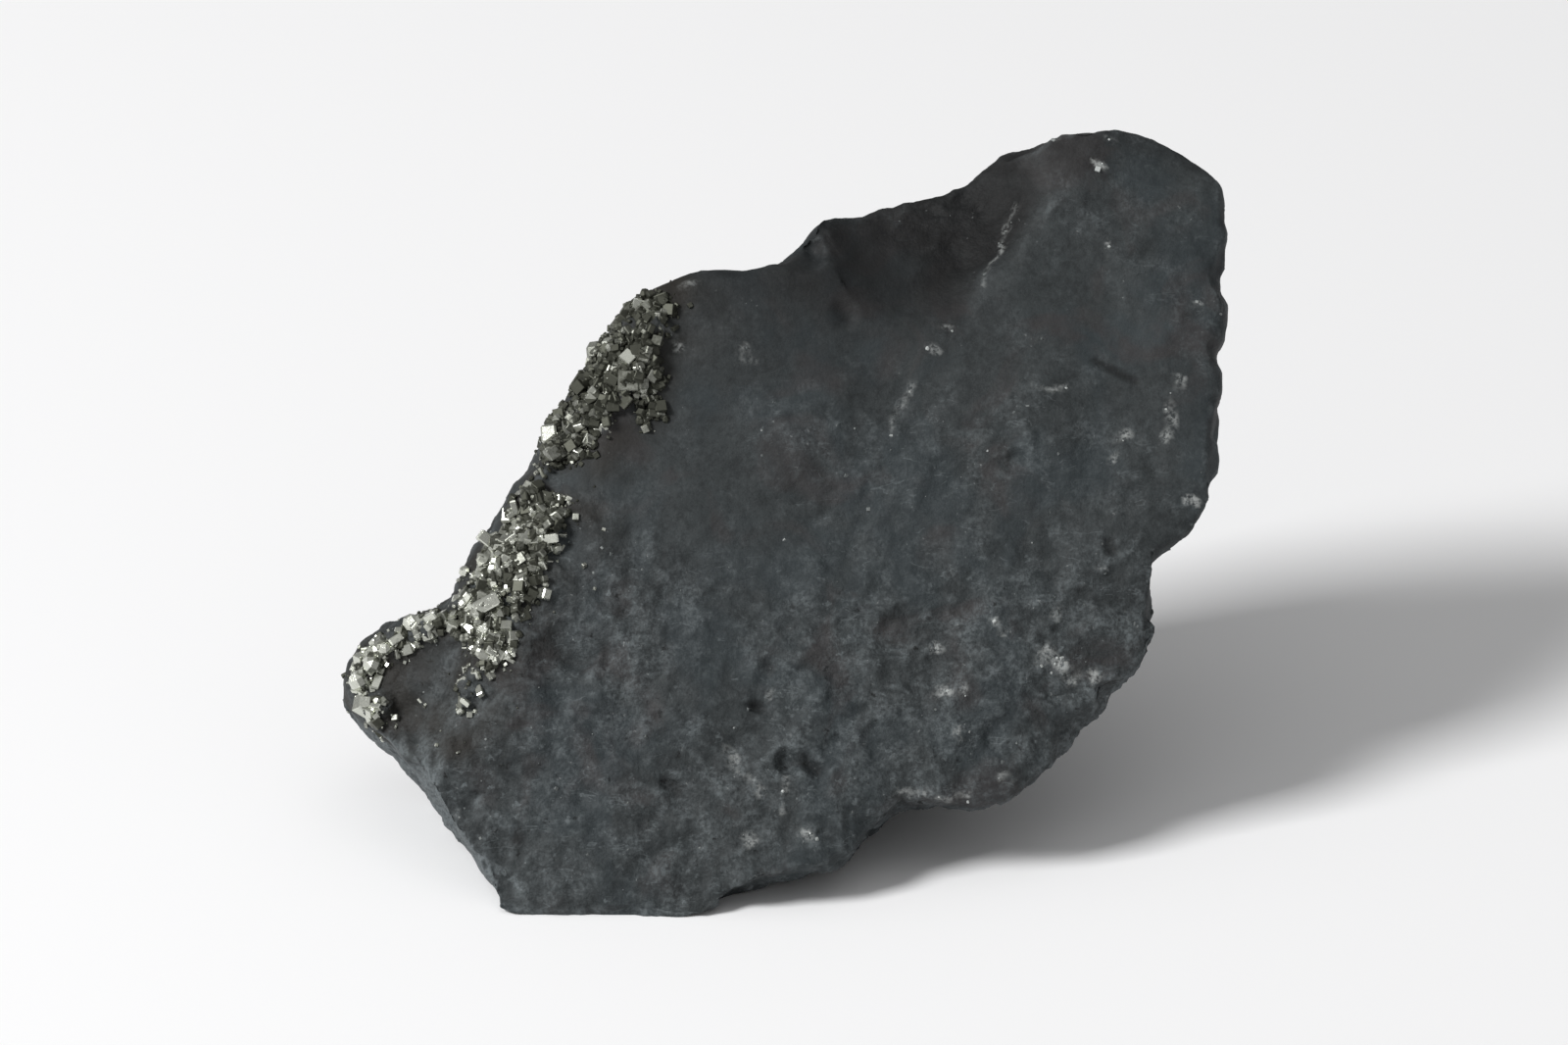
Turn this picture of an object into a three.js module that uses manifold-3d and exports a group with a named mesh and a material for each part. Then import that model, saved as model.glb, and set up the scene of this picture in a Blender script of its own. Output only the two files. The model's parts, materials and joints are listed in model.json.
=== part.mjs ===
// Raw shungite: one broken lump with a broad dull face, a dark conchoidal hollow under its top rim, a smooth
// shoulder, a chipped thin edge on the right and a crust of pyrite cubes along the left edge.
//
// Millimetres, +Z up. +X is the long way of the lump, and the broad face looks towards -Y and up. The lump
// rests on one flat fracture, and the origin is on that fracture's plane, under the middle of the lump.
//
// The shape is drawn in the face's own frame: u runs to the right along the broad face, v up it and w out of
// it, so that the rock lies below w = 0. The rim is the outline of the face when it is looked at square on, a
// fracture is a plane that ends the rock, and a scoop is a ball taken out of it.

import * as THREE from "three";
import { mergeVertices } from "three/addons/utils/BufferGeometryUtils.js";
import Module from "manifold-3d";

const wasm = await Module();
wasm.setup();

// Driving dimensions
const FACE_WIDTH = 56; // across the rim, from the left tip to the right side
const FACE_SLOPE = 52; // degrees between the broad face and the fracture that the lump rests on
const BODY_DEPTH = 27; // from the broad face to the furthest point behind it
const GRID = 2.15; // between the corners of a broken surface
const SCATTER = 0.9; // how far those corners lie out of their rows
const LUMP_SIZE = 6.5; // across one swell of the broken surface
const LUMP_HEIGHT = 0.32; // how far that swell lifts or sinks it
const RIPPLE_SIZE = LUMP_SIZE / 2.4; // the finer swell on top of it
const RIPPLE_SHARE = 0.45; // its height, as a share of the large one's
const DISH_DEPTH = 0.7; // how far the middle of the broad face is sunk
const DISH_RADIUS = 15; // and how wide that dish is
const CRYSTAL_SEED = 6; // which of the scatters of pyrite cubes is grown
const CRYSTAL_SMALL = 0.8; // edges of the pyrite cubes
const CRYSTAL_LARGE = 1.5;
const CRYSTAL_LIFT = 0.05; // how far their middles stand out of the rock, in edges
const CHIP_SMALL = 1.3; // radii of the chips along the thin right edge
const CHIP_LARGE = 2.8;
const CHIP_OFFSET = 0.55; // how far their middles lie beyond the rim and above the face, in radii

const DEGREE = Math.PI / 180;
const DRAWN_WIDTH = 56; // the width that the numbers below are drawn for
const SCALE = FACE_WIDTH / DRAWN_WIDTH;
const FAR = 46; // further than any of the rock is from its middle
const MIDDLE = new THREE.Vector3(0, 0, -BODY_DEPTH / 2);

// The rim, from the top of the pyrite crust and clockwise round.
const RIM = [
  [-10.3, 14.5], [-7.6, 15.9], [-2.7, 16.4], [-0.3, 17.4], [1.5, 20.0], [6.0, 20.9], [9.3, 21.8],
  [11.6, 22.9], [15.0, 24.7], [20.6, 25.2], [24.6, 24.0], [27.3, 21.4], [27.2, 16.2], [26.7, 11.4],
  [26.2, 6.6], [26.0, 2.4], [24.4, -0.8], [22.3, -2.1], [22.2, -4.2], [23.3, -5.6], [22.7, -7.4],
  [20.7, -10.3], [18.2, -12.4], [16.4, -15.4], [14.0, -17.2], [10.6, -17.6], [6.6, -17.3],
  [4.6, -18.8], [3.2, -21.3], [-2.2, -22.4], [-7.0, -25.2], [-18.2, -25.6], [-18.9, -22.4],
  [-24.4, -14.0], [-28.6, -10.0], [-28.2, -7.8], [-26.0, -5.9], [-22.0, -4.6], [-20.5, -1.8],
  [-16.6, 5.0], [-13.9, 9.6],
];

// Fractures that cross the face: a point on each, the way that it turns to (degrees, counterclockwise from u)
// and how far it leans off the broad face.
const FACE_FRACTURES = [
  { name: "broad face", at: [0, 0], towards: 0, lean: 0 },
  { name: "pyrite bevel", at: [-10.6, 8.4], towards: 158, lean: 33 },
  { name: "foot of the left side", at: [-22.5, -18.1], towards: 216, lean: 68 },
  { name: "bottom bevel", at: [-10, -23.8], towards: 268, lean: 62 },
  { name: "lower right turn", at: [12.5, -8.0], towards: 318, lean: 10 },
  { name: "lower left turn", at: [-14.5, -12.0], towards: 236, lean: 7 },
  { name: "inside of the shoulder", at: [19.6, 17.4], towards: 40, lean: 11 },
  { name: "outside of the shoulder", at: [25.6, 23.0], towards: 44, lean: 30 },
  { name: "right rim turn", at: [23.0, 5.0], towards: 356, lean: 10 },
  { name: "top left turn", at: [-4.0, 11.5], towards: 112, lean: 11 },
];

// Fractures down the sides, each leaning on the rim's furthest point at a depth.
const SIDE_FRACTURES = [
  { name: "right side, upper", towards: 14, lean: 126, depth: 1.6 },
  { name: "right side, lower", towards: 338, lean: 122, depth: 1.8 },
  { name: "lower right side", towards: 306, lean: 118, depth: 1.8 },
  { name: "left side", towards: 160, lean: 116, depth: 10.0 },
  { name: "foot side", towards: 222, lean: 110, depth: 8.0 },
  { name: "top side", towards: 88, lean: 108, depth: 3.5 },
  { name: "top right side", towards: 50, lean: 119, depth: 3.0 },
  { name: "top left side", towards: 126, lean: 112, depth: 3.5 },
];

// Fractures across the back, by their distance behind the middle of the face.
const BACK_FRACTURES = [
  { name: "back, upper", towards: 84, lean: 150, behind: 22.5 },
  { name: "back, upper left", towards: 128, lean: 136, behind: 22.0 },
  { name: "back, upper right", towards: 30, lean: 148, behind: 25.5 },
  { name: "back, right", towards: 8, lean: 149, behind: 24.5 },
  { name: "back, left", towards: 184, lean: 157, behind: 23.0 },
  { name: "back, end", towards: 270, lean: 176, behind: BODY_DEPTH },
];

// Scoops: the ball that each is part of, and how deep it bites into a fracture at a point.
const SCOOPS = [
  { name: "hollow under the top rim", on: "broad face", at: [7.4, 22.8], radius: 12.2, depth: 3.8 },
  { name: "hollow beside the shoulder", on: "broad face", at: [9.3, 21.3], radius: 7.8, depth: 3.1 },
  { name: "foot of the hollow", on: "broad face", at: [7.4, 17.6], radius: 8.5, depth: 1.8 },
  { name: "pit by the hollow", on: "broad face", at: [0.7, 18.2], radius: 1.7, depth: 1.5 },
  { name: "notch in the right rim", on: "broad face", at: [24.3, -3.2], radius: 2.2, depth: 2.0 },
  { name: "spall on the right rim", on: "broad face", at: [30.2, 8.4], radius: 5.0, depth: 2.6 },
  { name: "hollow at the left tip", on: "pyrite bevel", at: [-23.4, -11.0], radius: 8.0, depth: 0.7 },
  { name: "shell behind the shoulder", on: "back, upper", at: [14, 21], radius: 22, depth: 2.0 },
  { name: "shell high on the back", on: "back, upper", at: [1, 9], radius: 30, depth: 1.8 },
  { name: "shell on the right of the back", on: "back, right", at: [21, 5], radius: 17, depth: 2.0 },
  { name: "shell on the left of the back", on: "back, left", at: [-16, 0], radius: 20, depth: 2.0 },
  { name: "shell low on the back", on: "back, left", at: [-5, -10], radius: 26, depth: 1.6 },
  { name: "shell under the top rim", on: "top left side", at: [-7, 12], radius: 14, depth: 1.6 },
  { name: "shell under the notch", on: "right side, lower", at: [17, -7], radius: 14, depth: 1.5 },
  { name: "shell at the lower right", on: "lower right side", at: [6, -17], radius: 12, depth: 1.3 },
  { name: "shell at the foot", on: "foot side", at: [-23, -16], radius: 9, depth: 1.0 },
];

// The points of the rim with a chip, along the thin right edge.
const CHIP_FIRST = 13;
const CHIP_LAST = 28;

// Patches of pyrite: the ends of each in u and v, how far it spreads to either side, and its cubes.
const CRYSTAL_PATCHES = [
  { from: [-9.2, 13.0], to: [-14.4, 5.2], spread: 1.8, count: 26 },
  { from: [-14.8, 4.8], to: [-16.8, 1.6], spread: 0.4, count: 5 },
  { from: [-15.8, 0.4], to: [-19.2, -6.0], spread: 2.1, count: 28 },
  { from: [-18.8, -7.4], to: [-20.6, -11.6], spread: 0.4, count: 5 },
  { from: [-22.2, -5.8], to: [-26.6, -7.8], spread: 0.7, count: 10 },
  { from: [-27.4, -8.6], to: [-25.8, -11.8], spread: 0.5, count: 6 },
];

// The outward normal of a fracture that turns to an angle in the face and leans off it.
function normalOf({ towards, lean }) {
  const side = Math.sin(lean * DEGREE);
  return new THREE.Vector3(
    side * Math.cos(towards * DEGREE),
    side * Math.sin(towards * DEGREE),
    Math.cos(lean * DEGREE),
  );
}

// The fractures as planes: rock lies where normal . point < reach.
const FACE_PLANES = FACE_FRACTURES.map(({ name, at: [u, v], ...turn }) => {
  const normal = normalOf(turn);
  return { name, normal, reach: normal.dot(new THREE.Vector3(u, v, 0)) };
});
const SIDE_PLANES = SIDE_FRACTURES.map(({ name, depth, ...turn }) => {
  const normal = normalOf(turn);
  const reaches = RIM.map(([u, v]) => normal.dot(new THREE.Vector3(u, v, -depth)));
  return { name, normal, reach: Math.max(...reaches) };
});
const BACK_PLANES = BACK_FRACTURES.map(({ name, behind, ...turn }) => {
  const normal = normalOf(turn);
  return { name, normal, reach: behind * Math.abs(normal.z) };
});
const PLANES = [...FACE_PLANES, ...SIDE_PLANES, ...BACK_PLANES];

// The height of a plane over a point of the rim's plane.
function heightOf({ normal, reach }, u, v) {
  return (reach - normal.x * u - normal.y * v) / normal.z;
}

// A closed geometry as a solid that can be cut and joined.
function toSolid(geometry) {
  geometry.deleteAttribute("normal");
  geometry.deleteAttribute("uv");
  const { index, attributes } = mergeVertices(geometry, 1e-5);
  return new wasm.Manifold(new wasm.Mesh({
    numProp: 3,
    vertProperties: new Float32Array(attributes.position.array),
    triVerts: new Uint32Array(index.array),
  }));
}

// A solid as a geometry again.
function toGeometry(solid) {
  const { vertProperties, triVerts } = solid.getMesh();
  const geometry = new THREE.BufferGeometry();
  geometry.setAttribute("position", new THREE.BufferAttribute(vertProperties, 3));
  geometry.setIndex(new THREE.BufferAttribute(triVerts, 1));
  return geometry;
}

// A number from 0 to 1 that belongs to a whole-numbered corner of space.
function cornerValue(x, y, z) {
  const wave = Math.sin(x * 127.1 + y * 311.7 + z * 74.7) * 43758.5453;
  return wave - Math.floor(wave);
}

// Smooth noise from -1 to 1 that changes over about one unit.
function smoothNoise(x, y, z) {
  const [x0, y0, z0] = [x, y, z].map(Math.floor);
  const [fx, fy, fz] = [x - x0, y - y0, z - z0].map((f) => f * f * (3 - 2 * f));
  const mix = THREE.MathUtils.lerp;
  const along = (dy, dz) =>
    mix(cornerValue(x0, y0 + dy, z0 + dz), cornerValue(x0 + 1, y0 + dy, z0 + dz), fx);
  return 2 * mix(mix(along(0, 0), along(1, 0), fy), mix(along(0, 1), along(1, 1), fy), fz) - 1;
}

// How the broken surface strays from its plane at a point: two sizes of swell in every direction.
function strayAt(point) {
  const noiseAt = (size, shift) => smoothNoise(point.x / size + shift, point.y / size, point.z / size);
  const stray = [0, 17, 34].map((shift) =>
    noiseAt(LUMP_SIZE, shift) + RIPPLE_SHARE * noiseAt(RIPPLE_SIZE, shift));
  return new THREE.Vector3(...stray).multiplyScalar(LUMP_HEIGHT);
}

// How deep the broad face is dished at a point, which fades away behind the face.
function dishAt({ x, y, z }) {
  const near = Math.exp(-(x * x + y * y) / (DISH_RADIUS * DISH_RADIUS));
  return DISH_DEPTH * near * THREE.MathUtils.smoothstep(z, -12, 0);
}

// The solid of a geometry whose corners have all strayed, as a broken surface does.
function broken(geometry) {
  const corners = geometry.getAttribute("position");
  const point = new THREE.Vector3();
  for (let i = 0; i < corners.count; i++) {
    point.fromBufferAttribute(corners, i);
    const dish = dishAt(point);
    point.add(strayAt(point));
    corners.setXYZ(i, point.x, point.y, point.z - dish);
  }
  return toSolid(geometry);
}

// Everything on the outer side of a fracture, its corners scattered so that no row of them shows.
function beyond({ normal, reach }) {
  const cells = Math.ceil((2 * FAR) / GRID);
  const slab = new THREE.BoxGeometry(2 * FAR, 2 * FAR, FAR, cells, cells).translate(0, 0, FAR / 2);
  const corners = slab.getAttribute("position");
  for (let i = 0; i < corners.count; i++) {
    const [x, y] = [corners.getX(i), corners.getY(i)];
    corners.setX(i, x + SCATTER * (cornerValue(x, y, 1) - 0.5));
    corners.setY(i, y + SCATTER * (cornerValue(x, y, 2) - 0.5));
  }
  const turn = new THREE.Quaternion().setFromUnitVectors(new THREE.Vector3(0, 0, 1), normal);
  const seat = MIDDLE.clone().addScaledVector(normal, reach - normal.dot(MIDDLE));
  return broken(slab.applyQuaternion(turn).translate(seat.x, seat.y, seat.z));
}

// A broken ball.
function ball(middle, radius) {
  const smooth = new THREE.IcosahedronGeometry(radius, Math.ceil(radius / GRID));
  return broken(smooth.translate(middle.x, middle.y, middle.z));
}

// The ball of a scoop that bites into the fracture that it is on.
function scoop({ on, at: [u, v], radius, depth }) {
  const plane = PLANES.find(({ name }) => name === on);
  const surface = new THREE.Vector3(u, v, heightOf(plane, u, v));
  return ball(surface.addScaledVector(plane.normal, radius - depth), radius);
}

// The balls of the chips along the thin right edge.
function rimChips() {
  return RIM.slice(CHIP_FIRST, CHIP_LAST + 1).map(([u, v], i) => {
    const radius = THREE.MathUtils.lerp(CHIP_SMALL, CHIP_LARGE, cornerValue(i, 3, 5));
    const offset = CHIP_OFFSET * radius;
    const outward = new THREE.Vector3(u, v, 0).setLength(offset);
    return ball(new THREE.Vector3(u, v, offset).add(outward), radius);
  });
}

// The block that the lump is broken out of: the rim drawn out through the whole depth.
function block() {
  const outline = RIM.flatMap(([u, v], i) => {
    const [nextU, nextV] = RIM[(i + 1) % RIM.length];
    const pieces = Math.ceil(Math.hypot(nextU - u, nextV - v) / GRID);
    return Array.from({ length: pieces }, (_, k) =>
      new THREE.Vector2(u + ((nextU - u) * k) / pieces, v + ((nextV - v) * k) / pieces));
  });
  const depth = BODY_DEPTH + 2 * GRID;
  const options = { depth, steps: Math.ceil(depth / GRID), bevelEnabled: false };
  const drawn = new THREE.ExtrudeGeometry(new THREE.Shape(outline), options);
  return broken(drawn.translate(0, 0, GRID - depth));
}

// The rock, in the face's frame.
function rock() {
  const cuts = [...PLANES.map(beyond), ...SCOOPS.map(scoop), ...rimChips()];
  return cuts.reduce((solid, cut) => solid.subtract(cut), block());
}

// The height of the broken face over a point of the rim's plane.
function faceHeight(u, v) {
  return Math.min(...FACE_PLANES.map((plane) => heightOf(plane, u, v)));
}

// The pyrite cubes of one patch, half sunk in the face and turned every way.
function crystals({ from, to, spread, count }, patch) {
  const [start, end] = [new THREE.Vector2(...from), new THREE.Vector2(...to)];
  const across = end.clone().sub(start).normalize().rotateAround(new THREE.Vector2(), Math.PI / 2);
  return Array.from({ length: count }, (_, k) => {
    const random = (use) => cornerValue(k + 1, patch + CRYSTAL_SEED, use);
    const angle = (use) => 2 * Math.PI * random(use);
    const size = THREE.MathUtils.lerp(CRYSTAL_SMALL, CRYSTAL_LARGE, random(1) ** 2);
    const site = start.clone().lerp(end, (k + 0.5) / count);
    site.addScaledVector(across, spread * (2 * random(2) - 1));
    const seat = new THREE.Vector3(site.x, site.y, faceHeight(site.x, site.y));
    seat.add(strayAt(seat));
    seat.z += CRYSTAL_LIFT * size;
    const turn = new THREE.Quaternion().setFromEuler(new THREE.Euler(angle(3), angle(4), angle(5)));
    const cube = new THREE.BoxGeometry(size, size, size).applyQuaternion(turn);
    return toSolid(cube.translate(seat.x, seat.y, seat.z));
  });
}

// Turns face coordinates into the part's, with the rim's lowest point at the height of the floor.
function faceToPart() {
  const slope = FACE_SLOPE * DEGREE;
  const right = new THREE.Vector3(1, 0, 0);
  const up = new THREE.Vector3(0, Math.cos(slope), Math.sin(slope));
  const outward = new THREE.Vector3(0, -Math.sin(slope), Math.cos(slope));
  const lowest = Math.min(...RIM.map(([, v]) => v));
  const size = new THREE.Vector3(SCALE, SCALE, SCALE);
  const turned = new THREE.Matrix4().makeBasis(right, up, outward).scale(size);
  return turned.setPosition(0, 0, -lowest * Math.sin(slope) * SCALE);
}

// The whole lump, cut off flat where it rests and moved over the origin.
function lumpGeometry() {
  const grown = CRYSTAL_PATCHES.flatMap(crystals).reduce((solid, cube) => solid.add(cube), rock());
  const standing = toSolid(toGeometry(grown).applyMatrix4(faceToPart()));
  const ground = toSolid(new THREE.BoxGeometry(2 * FAR, 2 * FAR, FAR).translate(0, 0, -FAR / 2));
  const geometry = toGeometry(standing.subtract(ground));
  geometry.computeBoundingBox();
  const { x, y } = geometry.boundingBox.getCenter(new THREE.Vector3());
  return geometry.translate(-x, -y, 0);
}

const material = new THREE.MeshStandardMaterial({ color: 0x414548, roughness: 0.78, metalness: 0 });
const lump = new THREE.Mesh(lumpGeometry(), material);
lump.name = "shungite_stone";

const part = new THREE.Group();
part.add(lump);
export default part;
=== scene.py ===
"""A raw lump of shungite: its broken surface, its pyrite crust and a plain studio round it.

Metres, +Z up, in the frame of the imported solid. The lump's own directions are those of its broad face: u to
the right along it, v up it and w out of it. Sizes on the lump are in millimetres unless they say otherwise.
"""

from __future__ import annotations

import json
import logging
import math
from dataclasses import dataclass, field
from enum import Enum
from typing import Any, Callable, Sequence

import bmesh
import bpy
import numpy as np
from mathutils import Euler, Matrix, Quaternion, Vector, noise
from mathutils.bvhtree import BVHTree

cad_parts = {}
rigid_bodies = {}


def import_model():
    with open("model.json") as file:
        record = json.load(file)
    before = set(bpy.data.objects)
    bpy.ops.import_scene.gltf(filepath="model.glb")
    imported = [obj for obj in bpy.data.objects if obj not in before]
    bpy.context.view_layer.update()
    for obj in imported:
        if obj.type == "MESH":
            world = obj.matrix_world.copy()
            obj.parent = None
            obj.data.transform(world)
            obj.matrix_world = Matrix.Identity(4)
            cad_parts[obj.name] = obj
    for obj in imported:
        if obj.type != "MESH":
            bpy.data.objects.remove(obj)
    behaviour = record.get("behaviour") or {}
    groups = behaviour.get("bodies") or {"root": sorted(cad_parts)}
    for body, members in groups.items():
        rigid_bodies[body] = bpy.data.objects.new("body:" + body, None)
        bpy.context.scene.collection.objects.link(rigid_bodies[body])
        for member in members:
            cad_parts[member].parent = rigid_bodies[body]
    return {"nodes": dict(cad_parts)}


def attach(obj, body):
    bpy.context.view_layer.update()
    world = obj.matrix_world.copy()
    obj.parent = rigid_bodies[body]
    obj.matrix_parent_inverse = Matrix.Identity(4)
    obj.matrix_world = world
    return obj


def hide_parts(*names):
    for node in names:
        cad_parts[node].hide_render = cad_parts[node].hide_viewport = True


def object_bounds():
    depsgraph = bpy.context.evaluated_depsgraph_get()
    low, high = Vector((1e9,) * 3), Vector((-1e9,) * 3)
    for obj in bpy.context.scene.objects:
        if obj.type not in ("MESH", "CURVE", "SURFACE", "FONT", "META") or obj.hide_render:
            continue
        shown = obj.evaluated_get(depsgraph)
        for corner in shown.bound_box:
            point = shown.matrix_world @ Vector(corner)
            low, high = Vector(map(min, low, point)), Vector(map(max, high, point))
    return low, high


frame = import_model()
SOLID_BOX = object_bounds()

LOG = logging.getLogger("shungite")
MM = 0.001
NOISE_SEED = 4
SOLID = "shungite_stone"
BODY = "root"

Socket = bpy.types.NodeSocket
Span = tuple[float, float]
Spot = tuple[float, float]
Colour = tuple[float, float, float, float]

# The broad face: its slope, and where its middle (u = v = w = 0) lies.
FACE_SLOPE = math.radians(52)
FACE_MIDDLE = Vector((0.76, -2.95, 20.17)) * MM
RIGHT = Vector((1, 0, 0))
UP = Vector((0, math.cos(FACE_SLOPE), math.sin(FACE_SLOPE)))
OUTWARD = Vector((0, -math.sin(FACE_SLOPE), math.cos(FACE_SLOPE)))
FACE_AXES = np.array([RIGHT, UP, OUTWARD])
FACE_TURN = Matrix(FACE_AXES.T.tolist()).to_quaternion()

# Where a direction's share along OUTWARD counts as looking the way that the face does.
FACING = (0.1, 0.5)

# From how far out of the face rays are cast at it, and how deep the rim lies where they miss.
CAST_FROM = 6.0
CAST_FAR = 9.0
RIM_DEPTH = -1.0

# The waves that corner_value makes its numbers from.
CORNER_WAVES = (127.1, 311.7, 74.7)
CORNER_REACH = 43758.5453


class Zone(Enum):
    """The masks that are painted on the rock's vertices, by the attribute's name."""

    PYRITE = "pyrite_zone"
    # Dark brown round the pyrite: the rock's own brown, made darker as painted shade between the crystals.
    MATRIX = "matrix_zone"
    # Black: painted shade over the top of the face, in the scoops and in the pocks.
    PAINTED_SHADE = "hollow_zone"
    ROUGH = "rough_zone"
    # Pale: edge wear with painted highlight on the edges, and painted light from the ground on the lower-left
    # flank.
    EDGE = "edge_zone"
    PALE = "pale_zone"


class Shade(Enum):
    """The value that each crystal carries, by the attribute's name."""

    LENGTH = "edge_length"
    TURN = "turn"
    TINT = "tint"


class Layer(Enum):
    """The ways in which a broken surface is uneven."""

    SWELL = "soft swells"
    CRAG = "ridges on ridges, as rock breaks"
    FACET = "flat chips that lean every way"
    PIT = "scattered pits"


def smoothstep(low: float, high: float, value: np.ndarray) -> np.ndarray:
    """Goes smoothly from 0 at low to 1 at high.

    Args:
        low: the value that gives 0.
        high: the value that gives 1, which may be the smaller one.
        value: the values to read.

    Returns:
        The eased values, from 0 to 1.
    """
    t = np.clip((value - low) / (high - low), 0.0, 1.0)
    return t * t * (3.0 - 2.0 * t)


def between(span: Span, share: float) -> float:
    """Gives the value at a share of the way from a span's first end to its second."""
    return span[0] + (span[1] - span[0]) * share


def corner_value(x: float, y: float, z: float) -> float:
    """Gives the number that belongs to a place in space.

    Args:
        x: the place along the first axis.
        y: along the second.
        z: along the third.

    Returns:
        The number, from 0 to 1.
    """
    a, b, c = CORNER_WAVES
    wave = math.sin(x * a + y * b + z * c) * CORNER_REACH
    return wave - math.floor(wave)


def cloud(places: np.ndarray, size: float, shift: Sequence[float] = (0.0, 0.0, 0.0)) -> np.ndarray:
    """Gives a soft noise, about -1 to 1.

    Args:
        places: where it is read.
        size: the size of its swells, in the unit of the places.
        shift: how far it is moved, in swells.

    Returns:
        The noise at each place.
    """
    moved = Vector(shift)
    return np.array([noise.noise(Vector(place) / size + moved) for place in places])


def to_face(points: np.ndarray) -> np.ndarray:
    """Turns places in the part's frame into u, v and w in millimetres."""
    return (points - np.array(FACE_MIDDLE)) @ FACE_AXES.T / MM


def from_face(u: float, v: float, w: float = 0.0) -> Vector:
    """Turns u, v and w in millimetres into a place in the part's frame."""
    return FACE_MIDDLE + (RIGHT * u + UP * v + OUTWARD * w) * MM


def line_distance(uvw: np.ndarray, start: Spot, end: Spot) -> np.ndarray:
    """Gives how far places lie from a line on the broad face.

    Args:
        uvw: the places, in the face's directions.
        start: where the line starts, in u and v.
        end: where it ends, which may be where it starts.

    Returns:
        The distances along the face, in millimetres.
    """
    a, b = np.array(start), np.array(end)
    along = np.clip(((uvw[:, :2] - a) @ (b - a)) / max((b - a) @ (b - a), 1e-9), 0, 1)
    return np.linalg.norm(uvw[:, :2] - (a + along[:, None] * (b - a)), axis=1)


def link(name: str, mesh: bpy.types.Mesh) -> bpy.types.Object:
    """Puts a mesh into the scene.

    Args:
        name: the object's name.
        mesh: its mesh, with its place in its vertices.

    Returns:
        The new object.
    """
    mesh.name = name
    piece = bpy.data.objects.new(name, mesh)
    bpy.context.scene.collection.objects.link(piece)
    return piece


def evaluated_mesh(holder: bpy.types.Object) -> bpy.types.Mesh:
    """Turns an object and its modifiers into a plain mesh, and removes the object.

    Args:
        holder: the object, in the scene.

    Returns:
        The new mesh.
    """
    seen = holder.evaluated_get(bpy.context.evaluated_depsgraph_get())
    mesh = bpy.data.meshes.new_from_object(seen)
    bpy.data.objects.remove(holder)
    return mesh


def paint(mesh: bpy.types.Mesh, name: Enum, values: Sequence[float], kind: str = "FLOAT") -> None:
    """Gives a mesh's vertices an attribute.

    Args:
        mesh: the mesh.
        name: what the attribute is.
        values: the value of each vertex, one after the other.
        kind: the attribute's type.
    """
    mesh.attributes.new(name.value, kind, "POINT").data.foreach_set("value", values)


def on_rock(tree: BVHTree, u: float, v: float) -> tuple[Vector, Vector]:
    """Looks straight at a spot of the broad face.

    Args:
        tree: the rock's surface.
        u: the spot, along the face.
        v: the spot, up the face.

    Returns:
        The place that is seen and its outward direction: beside the rock, those of the nearest place.
    """
    hit, normal = tree.ray_cast(from_face(u, v, CAST_FROM), -OUTWARD)[:2]
    if hit is None:
        hit, normal = tree.find_nearest(from_face(u, v, RIM_DEPTH))[:2]
    return hit, normal


def linear(red: int, green: int, blue: int) -> Colour:
    """Turns a colour as a screen shows it into the linear colour of a shader.

    Args:
        red: the red channel, from 0 to 255.
        green: the green channel.
        blue: the blue channel.

    Returns:
        The linear colour, opaque.
    """
    channels = (value / 255 for value in (red, green, blue))
    turned = (c / 12.92 if c <= 0.04045 else ((c + 0.055) / 1.055) ** 2.4 for c in channels)
    return (*turned, 1.0)


@dataclass(frozen=True)
class Fade:
    """A strength that sets in smoothly: nothing of it at the start, all of it at the full."""

    strength: float
    start: float
    full: float

    def at(self, value: np.ndarray) -> np.ndarray:
        """Gives the strength at each value."""
        return self.strength * smoothstep(self.start, self.full, value)


@dataclass(frozen=True)
class Swells:
    """A shader noise: its swells to the millimetre, its finer octaves, their strength and its bending."""

    scale: float
    detail: float = 3.0
    rough: float = 0.55
    bent: float = 0.0


@dataclass(frozen=True)
class Warp:
    """A shift of the place this way and that: its swells to the millimetre and twice its reach."""

    scale: float
    reach: float
    detail: float = 2.0


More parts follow.
